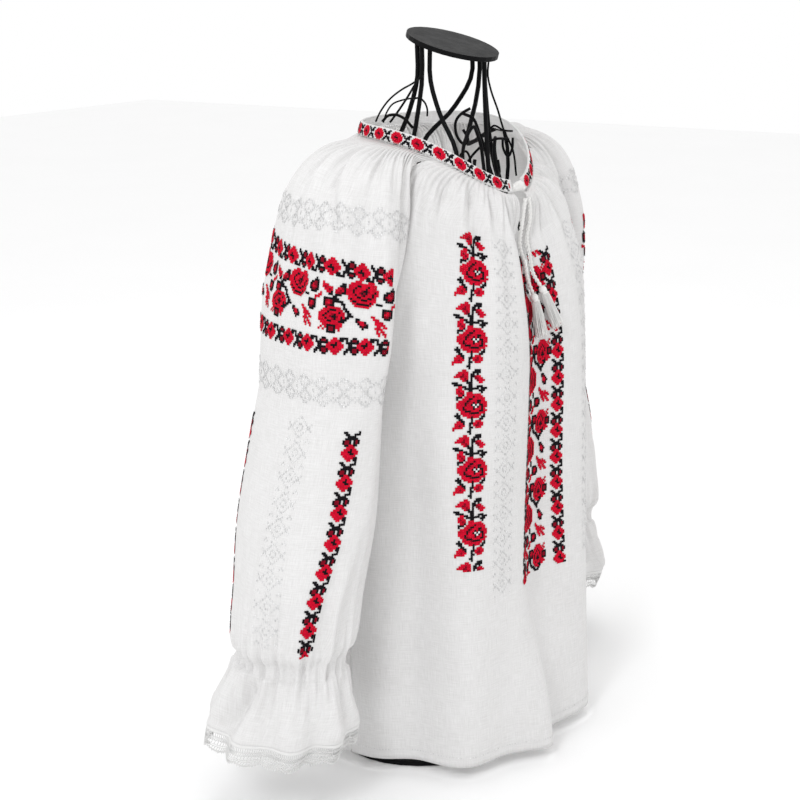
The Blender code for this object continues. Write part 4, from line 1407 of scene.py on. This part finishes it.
def stitches_tree(name, crossed, material):
    """Nodes that put one stitch on every point, turned to the cloth under it."""
    tree = bpy.data.node_groups.new(name, "GeometryNodeTree")
    tree.interface.new_socket("Geometry", in_out="INPUT", socket_type="NodeSocketGeometry")
    for size in ("Bar length", "Floss width", "Floss height"):
        tree.interface.new_socket(size, in_out="INPUT", socket_type="NodeSocketFloat")
    tree.interface.new_socket("Geometry", in_out="OUTPUT", socket_type="NodeSocketGeometry")
    inputs = tree.nodes.new("NodeGroupInput")
    join = tree.nodes.new("GeometryNodeJoinGeometry")
    scale = tree.nodes.new("ShaderNodeCombineXYZ")
    axes = (("Bar length", 0), ("Floss width", 1), ("Floss height", 2))
    links = [(inputs.outputs[size], scale.inputs[axis]) for size, axis in axes]
    for angle in (45, -45) if crossed else (90,):
        bead = tree.nodes.new("GeometryNodeMeshCone")
        bead.fill_type = "NONE"
        for socket, value in (("Vertices", 6), ("Radius Top", 0.0), ("Radius Bottom", 0.5), ("Depth", 1.0)):
            bead.inputs[socket].default_value = value
        stretch = tree.nodes.new("GeometryNodeTransform")
        turn = tree.nodes.new("GeometryNodeTransform")
        turn.inputs["Rotation"].default_value = (0, 0, math.radians(angle))
        links += [
            (bead.outputs["Mesh"], stretch.inputs["Geometry"]),
            (scale.outputs["Vector"], stretch.inputs["Scale"]),
            (stretch.outputs["Geometry"], turn.inputs["Geometry"]),
            (turn.outputs["Geometry"], join.inputs["Geometry"]),
        ]
    points = tree.nodes.new("GeometryNodeMeshToPoints")
    facing = tree.nodes.new("GeometryNodeInputNamedAttribute")
    facing.data_type = "FLOAT_VECTOR"
    facing.inputs["Name"].default_value = "facing"
    down = tree.nodes.new("GeometryNodeInputNamedAttribute")
    down.data_type = "FLOAT_VECTOR"
    down.inputs["Name"].default_value = "down"
    turned = tree.nodes.new("FunctionNodeAxesToRotation")
    turned.primary_axis, turned.secondary_axis = "Z", "Y"
    placed = tree.nodes.new("GeometryNodeInstanceOnPoints")
    smooth = tree.nodes.new("GeometryNodeSetShadeSmooth")
    realize = tree.nodes.new("GeometryNodeRealizeInstances")
    paint = tree.nodes.new("GeometryNodeSetMaterial")
    paint.inputs["Material"].default_value = material
    output = tree.nodes.new("NodeGroupOutput")
    links += [
        (inputs.outputs["Geometry"], points.inputs["Mesh"]),
        (points.outputs["Points"], placed.inputs["Points"]),
        (join.outputs["Geometry"], smooth.inputs["Geometry"]),
        (smooth.outputs["Geometry"], placed.inputs["Instance"]),
        (facing.outputs["Attribute"], turned.inputs["Primary Axis"]),
        (down.outputs["Attribute"], turned.inputs["Secondary Axis"]),
        (turned.outputs["Rotation"], placed.inputs["Rotation"]),
        (placed.outputs["Instances"], realize.inputs["Geometry"]),
        (realize.outputs["Geometry"], paint.inputs["Geometry"]),
        (paint.outputs["Geometry"], output.inputs["Geometry"]),
    ]
    for source, target in links:
        tree.links.new(source, target)
    return tree


floss = Paint("cotton floss", {"Roughness": 0.8, "Specular IOR Level": 0.08})
place = floss.node("ShaderNodeTexCoord", {}, output="Object")
colour = floss.node("ShaderNodeAttribute", {"attribute_name": "floss"}, output="Color")
worn = floss.noise(place, 700, 2)
shaded = floss.node("ShaderNodeVectorMath", {"operation": "SCALE"}, colour, named={"Scale": 0.55 + 0.9 * worn})
floss.wear("Base Color", shaded)
floss.wear("Normal", floss.bump(floss.noise(place, 2400, 2), 0.0002, 0.5))
cross_tree = stitches_tree("cross stitches", True, floss.material)
bar_tree = stitches_tree("straight stitches", False, floss.material)


def worked(surface, base, chart, line, band, flip=False, slit=False, cell=STITCH, lift=0.0010, squeeze=1.0):
    """Places, facings, directions and colours of the stitches of a chart along a line.

    line is a list of (across, fall). A band runs round the cloth, with the chart's
    columns down it; otherwise the line runs down, with the columns across it.
    squeeze below 1 sets the chart's columns closer, where the cloth is drawn in.
    """
    line = np.array(line, float)
    where = np.linspace(0, len(line) - 1, 600)
    a = np.interp(where, np.arange(len(line)), line[:, 0])
    f = np.interp(where, np.arange(len(line)), line[:, 1])
    run = np.concatenate([[0], np.cumsum(np.linalg.norm(np.diff(surface(a, f), axis=0), axis=1))])
    count = int(run[-1] / cell)
    at = (np.arange(count) + 0.5) * cell
    a, f = np.interp(at, run, a), np.interp(at, run, f)
    way = (0, 1) if band else (1, 0)
    ahead = base(a + way[0] * STEP, f + way[1] * STEP)
    unit = np.linalg.norm(ahead - base(a, f), axis=1) / STEP
    reach = 0.9 * cell * squeeze * max(len(row) for row in chart) / unit
    steps = reach[:, None] * np.linspace(-1, 1, 41)
    row_points = surface(a[:, None] + way[0] * steps, f[:, None] + way[1] * steps)
    lengths = np.cumsum(np.linalg.norm(np.diff(row_points, axis=1), axis=2), axis=1)
    lengths = np.column_stack([np.zeros(count), lengths])
    lengths -= lengths[:, 20:21]
    across, fall, marks = [], [], []
    for k in range(count):
        row = chart[k % len(chart)]
        row = row[::-1] if flip else row
        for j, mark in enumerate(row):
            if mark == ".":
                continue
            shift = np.interp((j - (len(row) - 1) / 2) * cell * squeeze, lengths[k], steps[k])
            across.append(a[k] + way[0] * shift)
            fall.append(f[k] + way[1] * shift)
            marks.append(mark)
    across, fall = np.array(across), np.array(fall)
    facing = normals(surface, across, fall)
    points = surface(across, fall)
    if slit:
        near = fall < SLIT_END_FALL
        points[near] = parted(points[near], across[near], fall[near])
    down = surface(across, fall + STEP) - surface(across, fall - STEP)
    return points + facing * lift, facing, down, marks


def embroidered(name, tree, parts, side, size, rng_seed):
    """One piece of stitches from several worked charts."""
    flip = np.array([side, 1, 1])
    points = np.concatenate([part[0] for part in parts]) * flip + MIDDLE
    facing = np.concatenate([part[1] for part in parts]) * flip
    down = np.concatenate([part[2] for part in parts]) * flip
    marks = [mark for part in parts for mark in part[3]]
    rng = np.random.default_rng(rng_seed)
    colours = np.array([(*FLOSS_COLOURS[mark], 1) for mark in marks])
    colours[:, :3] *= rng.uniform(0.82, 1.15, (len(marks), 1))
    down = down + rng.normal(0, 0.05, down.shape) * np.linalg.norm(down, axis=1, keepdims=True)
    mesh = bpy.data.meshes.new(name)
    mesh.from_pydata(points.tolist(), [], [])
    for key, values in (("facing", facing), ("down", down)):
        attribute = mesh.attributes.new(key, "FLOAT_VECTOR", "POINT")
        attribute.data.foreach_set("vector", values.ravel().astype(np.float32))
    attribute = mesh.attributes.new("floss", "FLOAT_COLOR", "POINT")
    attribute.data.foreach_set("color", colours.ravel().astype(np.float32))
    sizes = {"Bar length": size * 1.42, "Floss width": size * 0.94, "Floss height": size * 0.22}
    piece = grown(name, mesh, tree, sizes, floss.material)
    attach(piece, "root")
    return piece


# On the front: a column of large roses on either side, and in the middle the wide
# pattern between two narrow ones. The slit parts the wide pattern above.
WIDE_PATTERN = laid_out(WIDE_BAND_SIZE, WIDE_BAND_LAYOUT)
MIDDLE_PATTERN = [row[2:25] for row in WIDE_PATTERN]
LARGE_COLUMN = ((0.55, 0.33), (0.515, 0.95), (0.50, 1.475))
SMALL_COLUMN = ((0.108, 0.36), (0.116, 0.66), (0.126, 0.96), (0.142, 1.26), (0.172, 1.56))
MIDDLE_COLUMN = ((0.004, 0.35), (0.004, 1.56))
WHITE_COLUMN = ((0.375, 0.32), (0.35, 0.95), (0.35, 1.56))


def mirrored(line):
    return [(-across, fall) for across, fall in line]


front_parts = [
    worked(front, front_base, LARGE_ROSE, LARGE_COLUMN, False, True, True),
    worked(front, front_base, LARGE_ROSE, mirrored(LARGE_COLUMN), False, False, True),
    worked(front, front_base, SMALL_ROSE, SMALL_COLUMN, False, False, True),
    worked(front, front_base, SMALL_ROSE, mirrored(SMALL_COLUMN), False, True, True),
    worked(front, front_base, MIDDLE_PATTERN, MIDDLE_COLUMN, False, False, True, squeeze=0.74),
]
embroidered("front_cross_stitch", cross_tree, front_parts, 1, STITCH, 1)
front_whites = [
    worked(front, front_base, WHITE_DIAMOND, WHITE_COLUMN, False, slit=True, lift=0.0007),
    worked(front, front_base, WHITE_DIAMOND, mirrored(WHITE_COLUMN), False, slit=True, lift=0.0007),
]
embroidered("front_white_stitch", bar_tree, front_whites, 1, STITCH * 0.8, 2)

# On each sleeve: three bands below the shoulder, with white work above and below
# them, then two narrow columns down to the wrist with white work between.
TOP_BAND = ((0.97, 0.475), (-0.50, 0.612))
WIDE_BAND = ((0.97, 0.625), (-0.54, 0.734))
LOW_BAND = ((0.97, 0.79), (-0.52, 0.837))
UPPER_WHITE_BAND = ((-0.95, 0.44), (0.95, 0.36))
LOWER_WHITE_BAND = ((-0.95, 0.985), (0.95, 0.94))
SLEEVE_COLUMN = ((-0.30, 1.10), (-0.28, 1.50), (-0.235, 1.893))
SLEEVE_BACK_COLUMN = ((0.385, 1.10), (0.40, 1.50), (0.32, 1.893))
SLEEVE_WHITE_COLUMN = ((-0.04, 1.06), (-0.01, 1.50), (-0.04, 1.88))
for number, (word, side) in enumerate((("right", -1), ("left", 1))):
    parts = [
        worked(sleeve, sleeve_base, SMALL_ROSE, TOP_BAND, True, False),
        worked(sleeve, sleeve_base, WIDE_PATTERN, WIDE_BAND, True),
        worked(sleeve, sleeve_base, SMALL_ROSE, LOW_BAND, True, True),
        worked(sleeve, sleeve_base, SMALL_ROSE, SLEEVE_COLUMN, False, True),
        worked(sleeve, sleeve_base, SMALL_ROSE, SLEEVE_BACK_COLUMN, False),
    ]
    embroidered(f"sleeve_{word}_cross_stitch", cross_tree, parts, side, STITCH, 3 + number)
    whites = [
        worked(sleeve, sleeve_base, WHITE_RHOMB, UPPER_WHITE_BAND, True, lift=0.0007),
        worked(sleeve, sleeve_base, WHITE_RHOMB, LOWER_WHITE_BAND, True, lift=0.0007),
        worked(sleeve, sleeve_base, WHITE_DIAMOND, SLEEVE_WHITE_COLUMN, False, lift=0.0007),
    ]
    embroidered(f"sleeve_{word}_white_stitch", bar_tree, whites, side, STITCH * 0.8, 5 + number)

# On the neck band: small roses with crossed leaves between them.
BAND_CELL = 0.00172


def band_surface(across, fall):
    """The band's outer face; across is the angle and fall runs from 0 at its top to 1."""
    middle = band_point(across, 1 - fall)
    return middle + band_normal(across) * BAND_THICKNESS * 0.5


band_line = ((opening + 0.03, 0.5), (2 * math.pi - opening - 0.03, 0.5))
band_part = worked(band_surface, band_surface, BAND_ROSE, band_line, True, cell=BAND_CELL, lift=0.0002)
embroidered("neck_band_cross_stitch", cross_tree, [band_part], 1, BAND_CELL, 7)

# Machine stitches hold the turned hems of the front and the back.
def stitched_line(surface, base, across0, across1, fall):
    return worked(surface, base, ("w", "."), ((across0, fall), (across1, fall)), True, cell=0.0016, lift=0.0007)


HEM_FALL = 2.0 - (HEM_DEPTH - 0.0012) / (ARMPIT_Z - HEM_Z)
hem_parts = [
    stitched_line(front, front_base, -0.99, 0.99, HEM_FALL),
    stitched_line(back, back_base, -0.99, 0.99, HEM_FALL),
]
embroidered("hem_stitches", bar_tree, hem_parts, 1, 0.0013, 8)

# The floor, the lights and the camera

floor_paint = Paint("pale floor", {"Roughness": 0.8, "Specular IOR Level": 0.2})
place = floor_paint.node("ShaderNodeTexCoord", {}, output="Object")
clouds = floor_paint.noise(place, 3, 2)
floor_paint.wear("Base Color", floor_paint.blend(clouds, (0.94, 0.94, 0.94, 1), (0.96, 0.96, 0.96, 1)))
shape = bmesh.new()
bmesh.ops.create_grid(shape, x_segments=1, y_segments=1, size=6)
mesh = bpy.data.meshes.new("floor")
shape.to_mesh(mesh)
shape.free()
floor = add_piece("floor", mesh, floor_paint.material)

world = bpy.data.worlds.new("studio")
bpy.context.scene.world = world
world.use_nodes = True
world.node_tree.nodes["Background"].inputs["Color"].default_value = (1, 1, 1, 1)
world.node_tree.nodes["Background"].inputs["Strength"].default_value = 1.0
bpy.context.scene.view_settings.view_transform = "Standard"


def soft_light(name, place, aim, size, power, colour=(1, 1, 1)):
    lamp = bpy.data.lights.new(name, "AREA")
    lamp.shape = "DISK"
    lamp.size = size
    lamp.energy = power
    lamp.color = colour
    thing = bpy.data.objects.new(name, lamp)
    thing.location = place
    thing.rotation_euler = (Vector(aim) - Vector(place)).to_track_quat("-Z", "Y").to_euler()
    bpy.context.scene.collection.objects.link(thing)


soft_light("key", (-2.2, -0.5, 2.0), (0, 0, 0.4), 0.6, 17, (0.97, 0.98, 1.0))
soft_light("fill", (1.3, -2.2, 1.3), (0, 0, 0.4), 1.2, 1.5, (1.0, 0.98, 0.95))
soft_light("top", (0.1, 0.2, 2.6), (0, 0, 0.2), 1.4, 6)

# Thin cotton lets daylight through, which one small lamp inside the body stands for.
glow = bpy.data.lights.new("daylight_inside", "POINT")
glow.energy = 0.9
glow.shadow_soft_size = 0.04
thing = bpy.data.objects.new("daylight_inside", glow)
thing.location = (0.0, 0.02, 0.44)
bpy.context.scene.collection.objects.link(thing)

# The camera stands to the wearer's right, a little above the collar, and looks down.
CAMERA_AZIMUTH = -57.0585
CAMERA_DISTANCE = 1.76957
CAMERA_HEIGHT = 0.86541
CAMERA_PITCH = 15.37699
CAMERA_ROLL = -0.74980
CAMERA_PAN = 1.45880
FOCAL_PIXELS = 1641.808
IMAGE_PIXELS = 800
SENSOR = 36.0

azimuth = math.radians(CAMERA_AZIMUTH)
view = math.radians(CAMERA_AZIMUTH + CAMERA_PAN)
pitch = math.radians(CAMERA_PITCH)
roll = math.radians(CAMERA_ROLL)
right = Vector((math.cos(view), math.sin(view), 0))
ahead = Vector((-math.sin(view) * math.cos(pitch), math.cos(view) * math.cos(pitch), -math.sin(pitch)))
up = right.cross(ahead)
right, up = right * math.cos(roll) + up * math.sin(roll), up * math.cos(roll) - right * math.sin(roll)
camera_data = bpy.data.cameras.new("camera")
camera_data.sensor_width = SENSOR
camera_data.lens = FOCAL_PIXELS / IMAGE_PIXELS * SENSOR
camera_data.clip_start = 0.05
camera = bpy.data.objects.new("camera", camera_data)
stand = Vector((math.sin(azimuth) * CAMERA_DISTANCE, -math.cos(azimuth) * CAMERA_DISTANCE, CAMERA_HEIGHT))
pose = Matrix((right, up, -ahead)).transposed().to_4x4()
pose.translation = stand + Vector(MIDDLE)
camera.matrix_world = pose
bpy.context.scene.collection.objects.link(camera)
bpy.context.scene.camera = camera
